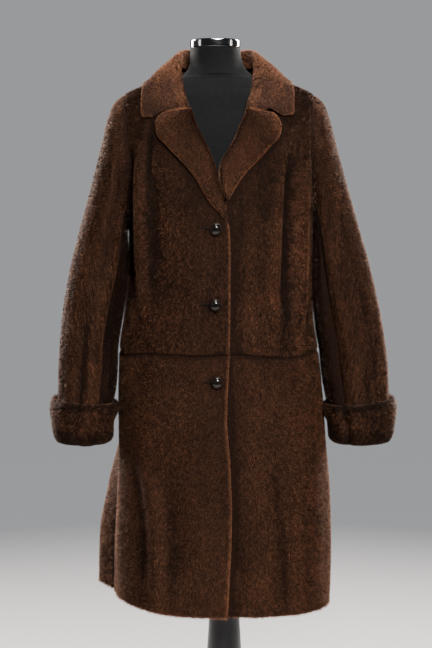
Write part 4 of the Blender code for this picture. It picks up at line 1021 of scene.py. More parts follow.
class CoatPile(bpy.types.PropertyGroup):
    """How the hair stands on every panel of fur."""

    density: number("Density", "Hairs on a square metre", 400000.0, min=1000.0)
    width: number("Hair width", "Width of a hair at its root", 0.0014, min=0.0001, unit="LENGTH")
    leather: number(
        "Leather depth", "Share of the wall above the leather", 0.52, min=0.1, max=0.9, subtype="FACTOR"
    )
    lean: number("Lean", "How far the hair leans down the nap, from upright", 0.46, subtype="ANGLE")
    wander: number("Wander", "How unevenly the hair lies, as a share of its lean", 0.07, min=0.0)
    crackle: number("Crackle", "How short the hair is along the pelts' fine partings", 0.28, min=0.0)
    edge: number("Edge", "How far the hair stands past a free edge", 0.0028, unit="LENGTH")
    seed: IntProperty(name="Seed", description="First number of the scattering", default=11)


class CoatColours(bpy.types.PropertyGroup):
    """Colours of the coat's materials."""

    root: colour("Root", "Hair colour at the skin", (0.010, 0.0045, 0.0022))
    middle: colour("Middle", "Hair colour half-way", (0.052, 0.0188, 0.0082))
    tip: colour("Tip", "Hair colour at the cut", (0.186, 0.083, 0.042))
    leather: colour("Leather", "The skin's inner side", (0.075, 0.040, 0.020))
    jersey: colour("Jersey", "The form's cover", (0.0036, 0.0036, 0.0042))


class CoatStage(bpy.types.PropertyGroup):
    """Floor, lights and camera."""

    floor: colour("Floor", "Colour of the floor", (0.66, 0.66, 0.67))
    around: number("Surroundings", "Strength of the even light", 0.018, min=0.0)
    backdrop: number("Backdrop", "Brightness of the empty backdrop", 0.45, min=0.0)
    key: number("Key", "Softbox at the front right", 84.0, min=0.0, unit="POWER")
    rim: number("Rim", "Each softbox behind", 150.0, min=0.0, unit="POWER")
    lens: number("Lens", "Focal length on a 36 mm film", 77.5, min=10.0)


SETTINGS = {"coat_pile": CoatPile, "coat_colours": CoatColours, "coat_stage": CoatStage}


# ---------------------------------------------------------------- meshes

BACKWARDS = [0, 3, 2, 1]  # a quad's corners the other way round


def add_object(name, mesh, finishes, sharp_degrees=180.0):
    """An object of this mesh on the part's body, smooth but for edges sharper than sharp_degrees."""
    mesh.shade_smooth()
    if sharp_degrees < 180:
        mesh.set_sharp_from_angle(angle=math.radians(sharp_degrees))
    for finish in finishes:
        mesh.materials.append(finish)
    made = bpy.data.objects.new(name, mesh)
    bpy.context.scene.collection.objects.link(made)
    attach(made, BODY)
    return made


def add_mesh(name, points, faces, finishes, pick=None, sharp_degrees=180.0):
    """An object of these faces. pick gives each face the number of its material."""
    mesh = bpy.data.meshes.new(name)
    mesh.vertices.add(len(points))
    mesh.vertices.foreach_set("co", np.asarray(points, np.float32).ravel())
    mesh.loops.add(faces.size)
    mesh.loops.foreach_set("vertex_index", faces.astype(np.int32).ravel())
    mesh.polygons.add(len(faces))
    mesh.polygons.foreach_set("loop_start", np.arange(0, faces.size, faces.shape[1], dtype=np.int32))
    if pick is not None:
        mesh.polygons.foreach_set("material_index", pick.astype(np.int32))
    mesh.update(calc_edges=True)
    mesh.validate()
    return add_object(name, mesh, finishes, sharp_degrees)


def numbered(rows, columns, closed=True):
    """Numbers of a grid's points. The first column comes again at the end of a closed one."""
    index = np.arange(rows * columns).reshape(rows, columns)
    return np.concatenate([index, index[:, :1]], axis=1) if closed else index


def stacked(*corners):
    return np.stack([corner.ravel() for corner in corners], axis=1)


def cells(index):
    """The four corners of each cell of a grid of numbers."""
    return stacked(index[:-1, :-1], index[:-1, 1:], index[1:, 1:], index[1:, :-1])


def wall_faces(rows, columns, closed):
    """Quads between two like grids laid one after the other, and the number of those on the outer one."""
    count = rows * columns
    index = numbered(rows, columns, closed)
    face = cells(index)

    def side(line):
        return stacked(line[:-1], line[1:], line[1:] + count, line[:-1] + count)

    faces = [face, side(index[0])[:, BACKWARDS], side(index[-1])]
    if not closed:
        faces += [side(index[:, 0]), side(index[:, -1])[:, BACKWARDS]]
    furry = sum(len(part) for part in faces)
    return np.concatenate(faces + [face[:, BACKWARDS] + count]), furry


def wall(outer, inner, closed):
    """Points and quads of the wall between two like grids, facing out, and which quads lie inside."""
    faces, furry = wall_faces(*outer.shape[:2], closed)
    points = np.concatenate([outer.reshape(-1, 3), inner.reshape(-1, 3)])
    a, b, c, d = (points[faces[:, i]] for i in range(4))
    size = (np.einsum("ij,ij->i", a, np.cross(b, c)) + np.einsum("ij,ij->i", a, np.cross(c, d))).sum()
    return points, faces[:, BACKWARDS] if size < 0 else faces, np.arange(len(faces)) >= furry


def finer(profile, count):
    """A profile read at more places along its own length, straight between its points."""
    profile = np.array(profile, float)
    length = np.concatenate([[0], np.cumsum(np.linalg.norm(np.diff(profile, axis=0), axis=1))])
    at = np.union1d(length, np.linspace(0, length[-1], count))
    return np.stack([np.interp(at, length, profile[:, i]) for i in (0, 1)], axis=1)


def turned(profile, around, place, axis=(0.0, 0.0, 1.0)):
    """A ring of points about axis for each (radius, height) of the profile."""
    ring = 2 * np.pi * np.arange(around) / around
    axis = unit(np.array(axis, float))
    side = unit(np.cross(axis, (0.0, 0.0, 1.0) if abs(axis[2]) < 0.9 else (0.0, 1.0, 0.0)))
    spokes = np.cos(ring)[:, None] * side + np.sin(ring)[:, None] * np.cross(axis, side)
    radius, height = np.array(profile, float).T
    return np.array(place, float) + axis * height[:, None, None] + spokes * radius[:, None, None]


def add_turned(name, rings, finishes, sharp_degrees=40.0, corners=(0, 1, 2, 3)):
    """A closed object of rings of points, of which the first and the last are one point each."""
    index = numbered(*rings.shape[:2])
    index[0], index[-1] = index[0, 0], index[-1, 0]
    used, faces = np.unique(cells(index)[:, corners], return_inverse=True)
    faces = [tuple(dict.fromkeys(row)) for row in faces.reshape(-1, 4).tolist()]
    mesh = bpy.data.meshes.new(name)
    mesh.from_pydata(rings.reshape(-1, 3)[used].tolist(), [], faces)
    return add_object(name, mesh, finishes, sharp_degrees)


# ---------------------------------------------------------------- fur

DOWN = "down"  # the nap of the body's panels; others give shares of their rows' and columns' ways
SEAM_GROOVE = 0.0028  # how deep the pile dips along a seam
SEAM_REACH = 0.0055
EDGE_REACH = 0.0040  # hair this near a free edge is painted paler, a painted highlight on the edge
PAST_REACH = 0.012  # and from here it bends out past the edge
OVER_PAST = 1.6  # more so where the edge lies on another panel
HOLLOW_DEPTH = 0.0045  # a point this far below its surroundings gets the full painted shade
HOLLOW_COLUMNS = 3  # its neighbours are this many columns away

# The pile's noises: size across the nap and down it, and the number that each adds to the panel's seed.
NOISES = {
    "patch": (0.085, 0.120, 40),
    "tuft": (0.013, 0.017, 50),
    "tuft along": (0.011, 0.015, 60),
    "fine": (0.0030, 0.0040, 80),
    "curl": (0.0034, 0.0046, 90),
    "curl along": (0.0034, 0.0046, 91),
    "broad": (0.042, 0.055, 95),
}
PARTING_APART, PARTING_LONG = 0.0078, 0.014  # size of the partings' own noise
# Length of a hair: what a seam and pressing take from it, what a tuft and chance add, and its limits.
SEAM_SHORT, PRESSED_SHORT, TUFT_LONG, CHANCE_LONG, LENGTHS = 0.35, 0.45, 0.06, 0.10, (0.35, 1.05)
# Shade of a hair, 0 for the darkest: its base, what noise adds and the painted highlight at a free edge, then
# what a parting and a seam take and the painted shadow where it is pressed, how much of a hollow's painted
# shade a ridge gains as painted light, what chance adds, and the palest shade.
SHADE, SHADE_FINE, SHADE_BROAD, PAINTED_EDGE_HIGHLIGHT = 0.38, 0.66, 0.20, 0.70
SHADE_PARTING, SHADE_SEAM, SHADE_PAINTED_SHADOW, SHADE_RIDGE = 0.28, 0.45, 0.6, 0.4
SHADE_CHANCE, PALEST = 0.22, 1.3
# Way that a hair is shaded from: the surface's, and these shares of its own face, its length and its curl.
BY_FACE, BY_LENGTH, BY_CURL = 0.50, 0.20, 0.75
ROOT_SUNK = 0.0004  # how far a hair's root is sunk into its shell
TWIST = 1.9  # radians between the extremes of the ways that hairs face
RIM_SHADE, RIM_DENSER, RIM_BEND, RIM_UNEVEN = 0.46, 1.3, 0.5, 0.35  # the hair on the cuts
SHELL_TONE = (0.25, 0.35, 0.5)  # place up the hair, shade and warmth of the leather's outer face


def grid_edges(grid):
    """Views of a grid that begin at each of its edges and go inwards."""
    across = grid.swapaxes(0, 1)
    return {"low": grid, "high": grid[::-1], "first": across, "last": across[::-1]}


def pull_back(grid, edges):
    """Draws rows and columns at free edges towards their neighbours, to leave room for the hair past them."""
    edge = bpy.context.scene.coat_pile.edge
    grid = grid.copy()
    for name in edges:
        view = grid_edges(grid)[name]
        gap = view[1] - view[0]
        length = np.linalg.norm(gap, axis=-1, keepdims=True)
        view[0] += gap / np.maximum(length, 1e-9) * np.minimum(edge, 0.8 * length)
    return grid


def distances(grid):
    """Distances along a grid's columns and rows, from its first corner, as two grids."""
    across = np.linalg.norm(np.diff(grid, axis=1), axis=-1)
    along = np.linalg.norm(np.diff(grid, axis=0), axis=-1)
    across = np.concatenate([np.zeros((len(grid), 1)), np.cumsum(across, axis=1)], axis=1)
    along = np.concatenate([np.zeros((1, grid.shape[1])), np.cumsum(along, axis=0)], axis=0)
    return across, along


def edge_nearness(across, along, edges, reach):
    """1 on the named edges of a grid, fading to 0 at reach from them."""
    near = np.zeros_like(across)
    ways = {"low": along, "high": along[-1:] - along, "first": across, "last": across[:, -1:] - across}
    for name in edges:
        near = np.maximum(near, np.clip(1 - ways[name] / reach, 0, 1))
    return near


def at_cells(grid, row, col, u, v):
    """A grid's values inside its cells: bilinear at shares u along the columns and v along the rows."""
    if grid.ndim == 3:
        u, v = u[:, None], v[:, None]
    low = grid[row, col] * (1 - u) + grid[row, col + 1] * u
    high = grid[row + 1, col] * (1 - u) + grid[row + 1, col + 1] * u
    return low * (1 - v) + high * v


def scatter(grid, density, random):
    """Cells of a grid and places in them: as many as each cell's area asks, a plastic-number step apart."""
    area = np.linalg.norm(np.cross(grid[:-1, 1:] - grid[:-1, :-1], grid[1:, :-1] - grid[:-1, :-1]), axis=-1)
    count = np.floor(area * density + random.random(area.shape)).astype(int).ravel()
    cell = np.repeat(np.arange(area.size), count)
    number = np.arange(cell.size) - np.repeat(np.cumsum(count) - count, count)
    row, col = np.divmod(cell, area.shape[1])
    place = (random.random((area.size, 2))[cell] + number[:, None] * (0.7548777, 0.5698403)) % 1.0
    return row, col, place[:, 0], place[:, 1]


def facing_out(grid, base, closed):
    """The grid's own normals, folds and all, on the side away from base."""
    normal = grid_normals(grid, closed)
    return normal * np.sign(dot(normal, grid - base).sum())


def hollows(grid, up):
    """How far each point lies below the middle of its neighbours in its row, over HOLLOW_DEPTH: -1 to 1.
    It sets the painted shade of hair in hollows and the painted light on ridges.
    """
    reach = HOLLOW_COLUMNS
    middle = (grid[:, 2 * reach :] + grid[:, : -2 * reach]) / 2 - grid[:, reach:-reach]
    depth = dot(middle, up[:, reach:-reach])[..., 0]
    depth = np.pad(depth, ((0, 0), (reach, reach)), mode="edge")
    return np.clip(depth / HOLLOW_DEPTH, -1, 1)


def joined(*grids):
    """Closed grids with their first column again at the end."""
    return [np.concatenate([grid, grid[:, :1]], axis=1) for grid in grids]


def store(mesh, name, kind, values):
    """Keeps a colour or a vector for each point of a mesh."""
    layer = mesh.attributes.new(name, kind, "POINT")
    layer.data.foreach_set("color" if kind == "FLOAT_COLOR" else "vector", values.astype(np.float32).ravel())


def add_strands(name, root, side, tip, facing, shade, warm):
    """One triangle a hair, from root - side and root + side to tip, shaded as if it faced the given way."""
    points = np.stack([root - side, root + side, tip], axis=1).reshape(-1, 3)
    faces = np.arange(len(points)).reshape(-1, 3)
    made = add_mesh(name, points, faces, [bpy.data.materials["sheared fur"]])
    tone = np.ones((len(root), 3, 4))
    tone[:, :, 0] = (0.0, 0.0, 1.0)
    tone[:, :, 1], tone[:, :, 2] = shade[:, None], warm[:, None]
    store(made.data, "pile", "FLOAT_COLOR", tone)
    store(made.data, "custom_normal", "FLOAT_VECTOR", np.repeat(facing, 3, axis=0))
    return made


def outward_hair(outer, across, along, free, over):
    """How each point's hair reaches past the edges, as a share of the setting: nearness^2 outwards."""
    rows_way, columns_way = unit(np.gradient(outer, axis=0)), unit(np.gradient(outer, axis=1))
    ways = {"low": -rows_way, "high": rows_way, "first": -columns_way, "last": columns_way}
    past = np.zeros_like(outer)
    for edge in (*free, *over):
        near = edge_nearness(across, along, (edge,), PAST_REACH)[..., None]
        past += ways[edge] * near**2 * (OVER_PAST if edge in over else 1.0)
    return past


def add_hairs(name, outer, base, nap, seed, free, seams, over, closed, pressed_and_shaded, pale=0.0, deep=0.8, grain=1):
    """Single tapered triangles from the base grid to the outer one.

    Each hair starts on the base, rises by the pile's own depth times a length, and leans along the nap by the
    tangent of the lean. Noise turns whole tufts. Ridged noise, which is 1 where smooth noise crosses 0, draws
    the pelts' fine partings. Near a free edge the tip moves out past it, and near a seam the hair is shorter.
    Hair near a free edge is painted paler, a painted highlight, pressed hair is darker, a painted shadow, and
    hair in hollows gets painted shade and on ridges painted light. pale, deep and grain are how light the
    panel is, which is painted light on the lapels and collar and painted shade on the under sleeves, how
    strongly its hollows and ridges are painted, and how much its hairs differ.
    """
    pile = bpy.context.scene.coat_pile
    random = np.random.default_rng(pile.seed + seed)
    up = facing_out(outer, base, closed)
    if closed:
        outer, base, up = joined(outer, base, up)
    across, along = s_grid, t_grid = distances(outer)
    if nap is DOWN:
        way = np.zeros_like(outer) + (0.0, 0.0, -1.0)
    else:
        way = nap[0] * unit(np.gradient(outer, axis=0)) + nap[1] * unit(np.gradient(outer, axis=1))
    if nap is DOWN and not closed:
        s_grid, t_grid = np.arctan2(outer[..., 1], outer[..., 0]) * BODY_ROUND, outer[..., 2]
    way = unit(way - up * dot(way, up))
    row, col, u, v = scatter(outer, pile.density, random)
    count = len(row)

    def read(grid):
        return at_cells(grid, row, col, u, v)

    def cloud(kind):
        size_s, size_t, own = NOISES[kind]
        return clouds(s / size_s, t / size_t, seed + own)

    def chance():
        return random.random(count) - 0.5

    root, top, lift, flow = read(base), read(outer), unit(read(up)), unit(read(way))
    s, t = read(s_grid), read(t_grid)
    near_seam = read(edge_nearness(across, along, seams, SEAM_REACH))
    edge_highlight = read(edge_nearness(across, along, free, EDGE_REACH))
    in_hollow = read(hollows(outer, up))
    held_down_and_shaded = read(pressed_and_shaded) if pressed_and_shaded is not None else 0 * s
    patch, tuft = cloud("patch"), cloud("tuft")
    wander = 0.9 * noise(s / 0.018, t / 0.013, seed + 71)
    ridge = np.abs(noise(s / PARTING_APART + wander, t / PARTING_LONG, seed + 70))
    parting = np.clip(1 - ridge / 0.20, 0, 1) * np.clip(0.30 + patch, 0, 1)

    length = 1 - pile.crackle * parting - SEAM_SHORT * near_seam - PRESSED_SHORT * held_down_and_shaded
    length = length + TUFT_LONG * tuft + CHANCE_LONG * chance()
    height = (np.linalg.norm(top - root, axis=-1) * np.clip(length, *LENGTHS))[:, None]
    lean = np.tan(pile.lean) * (1 + pile.wander * cloud("tuft along")) * (1 - 0.5 * near_seam)
    turn = pile.wander * (0.9 * tuft + 0.5 * chance()) * np.tan(pile.lean)
    sideways = unit(np.cross(flow, lift))
    tip = root + lift * height + (flow * lean[:, None] + sideways * turn[:, None]) * height
    tip += read(outward_hair(outer, across, along, free, over)) * pile.edge

    hair = unit(tip - root)
    twist = (chance() * TWIST)[:, None]
    half = (pile.width / 2 * (0.8 + 0.4 * random.random(count)))[:, None]
    flat = unit(np.cross(hair, lift))
    side = flat * np.cos(twist) + np.cross(hair, flat) * np.sin(twist)
    facing = unit(np.cross(hair, side))
    facing = facing * np.sign(dot(facing, lift))
    curl = sideways * cloud("curl")[:, None] + flow * cloud("curl along")[:, None]
    mixed = unit(lift + BY_FACE * facing + BY_LENGTH * hair + BY_CURL * grain * curl)

    shade = SHADE + pale + SHADE_FINE * grain * cloud("fine") + SHADE_BROAD * cloud("broad")
    # Painted highlight: hair near a free edge is paler.
    shade += PAINTED_EDGE_HIGHLIGHT * edge_highlight
    # Painted shadow: pressed hair beside the top front's edge, round the buttons, under the lapels' edges and
    # on the cuffs is darker.
    shade -= SHADE_PARTING * parting + SHADE_SEAM * near_seam + SHADE_PAINTED_SHADOW * held_down_and_shaded
    # Painted shade in hollows and painted light on ridges.
    shade -= deep * np.where(in_hollow > 0, in_hollow, SHADE_RIDGE * in_hollow)
    shade = np.clip(np.clip(shade, 0, PALEST) + SHADE_CHANCE * chance(), 0, PALEST)
    warm = np.clip(0.5 + 0.5 * patch, 0, 1)
    return add_strands(name, root - lift * ROOT_SUNK, side * half, tip, mixed, shade, warm)


def add_rims(name, outer, base, back, free, seed, closed):
    """Hair on the cut of each free edge: it starts between leather and inner face and stands straight out."""
    if not free:
        return []
    pile = bpy.context.scene.coat_pile
    random = np.random.default_rng(pile.seed + seed + 500)
    if closed:
        outer, base, back = joined(outer, base, back)
    strands = []
    for edge in free:
        skin, low, under = (grid_edges(grid)[edge] for grid in (outer, base, back))
        away, up = unit(skin[0] - skin[1]), unit(low[0] - under[0])
        strip = np.stack([low[0], under[0]])
        row, col, u, v = scatter(strip, pile.density * RIM_DENSER, random)
        root = at_cells(strip, row, col, u, v)
        share = u[:, None]
        out = unit(away[col] * (1 - share) + away[col + 1] * share)
        lift = unit(up[col] * (1 - share) + up[col + 1] * share)
        bend = (1 - v)[:, None] * RIM_BEND + 0.15 * (random.random((len(u), 1)) - 0.5)
        hair = unit(out + lift * bend + RIM_UNEVEN * (random.random((len(u), 3)) - 0.5))
        long = pile.edge * (0.75 + 0.35 * random.random((len(u), 1)))
        side = unit(np.cross(hair, lift)) * pile.width * 0.5
        strands.append((root, side, root + hair * long, unit(out + lift * 0.5)))
    strands = [np.concatenate(values) for values in zip(*strands)]
    even = np.ones(len(strands[0]))
    return [add_strands(name, *strands, RIM_SHADE * even, 0.5 * even)]


def add_fur(node, grids, nap, seed, free=(), seams=(), over=(), closed=False, pressed_and_shaded=None, **tones):
    """A panel: its leather as a thin shell and its hair, from the outer and inner grids of its solid.

    free are the edges that end in hair, seams those that are sewn, and over those that lie on another panel.
    """
    outer, inner = grids
    if seams:
        groove = SEAM_GROOVE * edge_nearness(*distances(outer), seams, SEAM_REACH) ** 2
        outer = outer + unit(inner - outer) * groove[..., None]
    base = outer + (inner - outer) * bpy.context.scene.coat_pile.leather
    base, back = (pull_back(grid, (*free, *over)) for grid in (base, inner))
    points, faces, pick = wall(base, back, closed)
    finishes = [bpy.data.materials[name] for name in ("sheared fur", "leather side")]
    shell = add_mesh(f"{node}_shell", points, faces, finishes, pick)
    store(shell.data, "pile", "FLOAT_COLOR", np.tile((*SHELL_TONE, 1.0), (len(points), 1)))
    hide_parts(node)
    pieces = [add_hairs(f"{node}_pile", outer, base, nap, seed, free, seams, over, closed, pressed_and_shaded, **tones)]
    pieces += add_rims(f"{node}_rim", outer, base, back, free, seed, closed)


# ---------------------------------------------------------------- materials

PLAIN = (1.0, 1.0, 1.0)
BLACK = (0.0, 0.0, 0.0, 1.0)
MIDDLING = (0.3, 0.7)  # the span that noise mostly stays in


def new_group(name, inputs, outputs):
    """A node group with inputs (name, type, default) and outputs (name, type), and its two end nodes."""
    group = bpy.data.node_groups.new(name, "ShaderNodeTree")
    for label, kind, default in inputs:
        group.interface.new_socket(label, in_out="INPUT", socket_type=kind).default_value = default
    for label, kind in outputs:
        group.interface.new_socket(label, in_out="OUTPUT", socket_type=kind)
    return group, group.nodes.new("NodeGroupInput"), group.nodes.new("NodeGroupOutput")


def put(tree, kind, links=(), **values):
    """A node of this kind. values are its properties, and links are (input, output socket or value) pairs."""
    node = tree.nodes.new(kind)
    for name, value in values.items():
        setattr(node, name, value)
    for target, source in links:
        if isinstance(source, bpy.types.NodeSocket):
            tree.links.new(source, node.inputs[target])
        else:
            node.inputs[target].default_value = source
    return node


def mapped(tree, scale):
    """Object coordinates, scaled."""
    coords = put(tree, "ShaderNodeTexCoord").outputs["Object"]
    return put(tree, "ShaderNodeMapping", (("Vector", coords), ("Scale", scale))).outputs["Vector"]


def noise_node(tree, stretch, scale, detail=2.0, rough=0.5):
    links = (("Vector", mapped(tree, stretch)), ("Scale", scale), ("Detail", detail), ("Roughness", rough))
    return put(tree, "ShaderNodeTexNoise", links).outputs["Fac"]


def wave_node(tree, stretch, scale, distortion, **values):
    links = (("Vector", mapped(tree, stretch)), ("Scale", scale), ("Distortion", distortion), ("Detail", 2.0))
    return put(tree, "ShaderNodeTexWave", links, **values).outputs["Fac"]


def span(tree, value, low, high, to_low=0.0, to_high=1.0):
    """A value taken from low..high to to_low..to_high, held at both ends."""
    links = (("Value", value), ("From Min", low), ("From Max", high), ("To Min", to_low), ("To Max", to_high))
    return put(tree, "ShaderNodeMapRange", links, clamp=True).outputs["Result"]


def product(tree, a, b):
    return put(tree, "ShaderNodeMath", ((0, a), (1, b)), operation="MULTIPLY").outputs[0]


def mix(tree, share, a, b, blend="MIX"):
    """Two colours, mixed by share. Each is a socket or (red, green, blue, 1)."""
    links = ((0, share), (6, a), (7, b))
    return put(tree, "ShaderNodeMix", links, data_type="RGBA", blend_type=blend).outputs[2]


def solid(colour, strength=1.0):
    return (*(strength * value for value in colour), 1.0)


def new_material(name, fixed):
    """A material's tree and its Principled shader. fixed sets the shader's own constant sockets."""
    made = bpy.data.materials.new(name)
    made.use_nodes = True
    shader = made.node_tree.nodes["Principled BSDF"]
    for socket, value in fixed.items():
        shader.inputs[socket].default_value = value
    return made.node_tree, shader


def feed(tree, shader, **links):
    for socket, source in links.items():
        tree.links.new(source, shader.inputs[socket.replace("_", " ")])


def bump(tree, height, strength, distance):
    links = (("Height", height), ("Strength", strength), ("Distance", distance))
    return put(tree, "ShaderNodeBump", links).outputs["Normal"]


def noisy_material(name, fixed, noises, tint, rough, relief=None):
    """A finish whose colour, roughness and relief each follow one of a few noises.

    tint is (noise, low, high, first colour, last colour), rough is (noise, low, high, first, last), and
    relief is (noise, strength, distance).
    """
    tree, shader = new_material(name, fixed)
    noises = [noise_node(tree, *noise) for noise in noises]
    which, low, high, first, last = tint
    colour = mix(tree, span(tree, noises[which], low, high), solid(first), solid(last))
    feed(tree, shader, Base_Color=colour, Roughness=span(tree, noises[rough[0]], *rough[1:]))
    if relief:
        feed(tree, shader, Normal=bump(tree, noises[relief[0]], *relief[1:]))


# What noisy_material is told about each plain finish: polished metal with wipe marks, black paint with orange
# peel that handling has dulled in patches, a button's glossy dome, its tarnished rim, and a buttonhole's
# slit, near black as painted shade of its opening, with a stitch-like noise.
FINISHES = (
    (
        "chrome",
        {"Metallic": 1.0},
        (((1.0, 1.0, 9.0), 40.0, 3.0, 0.6), (PLAIN, 500.0)),
        (0, *MIDDLING, (0.86, 0.86, 0.88), (0.70, 0.70, 0.73)),
        (0, *MIDDLING, 0.05, 0.16),
        (1, 0.02, 0.0003),
    ),
    (
        "black paint",
        {"Specular IOR Level": 0.5, "Coat Weight": 0.15},
        (((1.0, 1.0, 0.4), 18.0, 5.0, 0.65), (PLAIN, 420.0)),
        (0, 0.45, 0.75, (0.010, 0.010, 0.011), (0.026, 0.025, 0.025)),
        (0, 0.35, 0.7, 0.30, 0.52),
        (1, 0.08, 0.0004),
    ),
    (
        "black button",
        {"Specular IOR Level": 0.02, "Coat Weight": 1.0, "Coat Roughness": 0.05},
        ((PLAIN, 260.0, 4.0, 0.6),),
        (0, 0.35, 0.7, (0.006, 0.005, 0.005), (0.022, 0.015, 0.012)),
        (0, *MIDDLING, 0.10, 0.28),
    ),
    (
        "button rim",
        {"Metallic": 1.0},
        ((PLAIN, 300.0, 3.0, 0.6),),
        (0, 0.35, 0.7, (0.07, 0.052, 0.038), (0.022, 0.016, 0.012)),
        (0, *MIDDLING, 0.22, 0.45),
    ),
    (
        "buttonhole",
        {"Specular IOR Level": 0.2},
        ((PLAIN, 1400.0),),
        (0, 0.0, 1.0, (0.004, 0.003, 0.003), (0.020, 0.012, 0.008)),
        (0, *MIDDLING, 0.7, 0.95),
        (0, 0.6, 0.0004),
    ),
)


def pile_group():
    """Colour from the place up the hair, its shade and its warmth, with soft pelt strips and mottling.
    The shade holds painted highlights and painted shade as well as the hair's own tone.
    """
    colours = bpy.context.scene.coat_colours
    inputs = [("Tone", "NodeSocketColor", (1.0, 0.5, 0.5, 1.0))]
    for name in ("root", "middle", "tip"):
        inputs.append((name.title(), "NodeSocketColor", solid(getattr(colours, name))))
    outputs = (("Color", "NodeSocketColor"), ("Roughness", "NodeSocketFloat"))
    group, start, end = new_group("pile colour", inputs, outputs)
    up, shade, warm = put(group, "ShaderNodeSeparateColor", (("Color", start.outputs["Tone"]),)).outputs
    low = mix(group, span(group, up, 0.0, 0.55), start.outputs["Root"], start.outputs["Middle"])
    hair = mix(group, span(group, up, 0.30, 0.85), low, start.outputs["Tip"])
    light = span(group, shade, 0.0, PALEST, 0.14, 2.36)
    for noise_values, darkest, lightest in (
        (((1.0, 0.6, 0.16), 19.0), 0.84, 1.16),
        (((1.0, 1.0, 0.55), 210.0, 2.0, 0.6), 0.70, 1.30),
        ((PLAIN, 7.0), 0.88, 1.12),
    ):
        mottle = noise_node(group, *noise_values)
        light = product(group, light, span(group, mottle, *MIDDLING, darkest, lightest))
    tinted = mix(group, span(group, warm, 0.2, 0.8, 0.0, 0.55), hair, (1.10, 0.95, 0.90, 1.0), "MULTIPLY")
    greys = [(channel, light) for channel in ("Red", "Green", "Blue")]
    grey = put(group, "ShaderNodeCombineColor", greys).outputs[0]
    group.links.new(mix(group, 1.0, tinted, grey, "MULTIPLY"), end.inputs["Color"])
    group.links.new(span(group, up, 0.0, 1.0, 0.95, 0.62), end.inputs["Roughness"])
    return group


def fur_material():
    fixed = {
        "Specular IOR Level": 0.20,
        "Sheen Weight": 0.15,
        "Sheen Roughness": 0.35,
        "Sheen Tint": (0.90, 0.58, 0.42, 1.0),
    }
    tree, shader = new_material("sheared fur", fixed)
    tone = put(tree, "ShaderNodeAttribute", attribute_name="pile").outputs["Color"]
    hair = put(tree, "ShaderNodeGroup", node_tree=pile_group())
    tree.links.new(tone, hair.inputs["Tone"])
    feed(tree, shader, Base_Color=hair.outputs["Color"], Roughness=hair.outputs["Roughness"])


def leather_material():
    pale = bpy.context.scene.coat_colours.leather
    noisy_material(
        "leather side",
        {"Specular IOR Level": 0.1},
        (((1.0, 1.0, 0.5), 24.0, 4.0, 0.6), (PLAIN, 900.0, 3.0, 0.7)),
        (0, *MIDDLING, pale, [0.55 * value for value in pale]),
        (1, *MIDDLING, 0.72, 0.95),
        (1, 0.35, 0.0006),
    )


def jersey_material():
    """Fine ribs of knitting: a wave round the form crossed by one up it, over a soft mottle."""
    colour = bpy.context.scene.coat_colours.jersey
    fixed = {"Specular IOR Level": 0.2, "Sheen Weight": 0.08, "Sheen Roughness": 0.5}
    tree, shader = new_material("black jersey", fixed)
    ribs = wave_node(tree, (1.0, 1.0, 0.10), 260.0, 1.4)
    rows = wave_node(tree, (0.1, 0.1, 1.0), 300.0, 1.0, bands_direction="Z")
    knit = product(tree, ribs, rows)
    fuzz = noise_node(tree, PLAIN, 160.0, 4.0, 0.7)
    raised = span(tree, product(tree, knit, fuzz), 0.05, 0.5)
    feed(
        tree,
        shader,
        Base_Color=mix(tree, raised, solid(colour), solid(colour, 1.8)),
        Roughness=span(tree, fuzz, *MIDDLING, 0.78, 0.96),
        Normal=bump(tree, knit, 0.5, 0.0005),
    )


def floor_material():
    """Pale paper, which far from the form takes the empty backdrop's own brightness, so no horizon shows."""
    stage = bpy.context.scene.coat_stage
    tree, shader = new_material("studio floor", {"Specular IOR Level": 0.2, "Emission Strength": 1.0})
    soft = noise_node(tree, PLAIN, 3.0, 3.0)
    level = mapped(tree, (1.0, 1.0, 0.0))
    away = put(tree, "ShaderNodeVectorMath", ((0, level),), operation="LENGTH").outputs["Value"]
    far = span(tree, away, 0.7, 2.3)
    seen = put(tree, "ShaderNodeLightPath").outputs["Is Camera Ray"]
    paper = mix(tree, soft, solid(stage.floor, 0.97), solid(stage.floor))
    feed(
        tree,
        shader,
        Base_Color=mix(tree, far, paper, BLACK),
        Roughness=span(tree, soft, *MIDDLING, 0.75, 0.85),
        Emission_Color=mix(tree, product(tree, far, seen), BLACK, solid(BACKDROP, stage.backdrop)),
    )


# ---------------------------------------------------------------- the pieces, an operator each


class CoatOperator(bpy.types.Operator):
    """Base of the coat's operators: each makes its pieces and finishes, or stops on an error."""

    bl_options = {"REGISTER", "UNDO"}

    def execute(self, context):
        self.build(context)
        return {"FINISHED"}


class COAT_OT_materials(CoatOperator):
    """Make the fur, leather, jersey, metal and paint materials"""

    bl_idname = "coat.materials"
    bl_label = "Materials"

    def build(self, context):
        fur_material()
        leather_material()
        jersey_material()
        for finish in FINISHES:
            noisy_material(*finish)


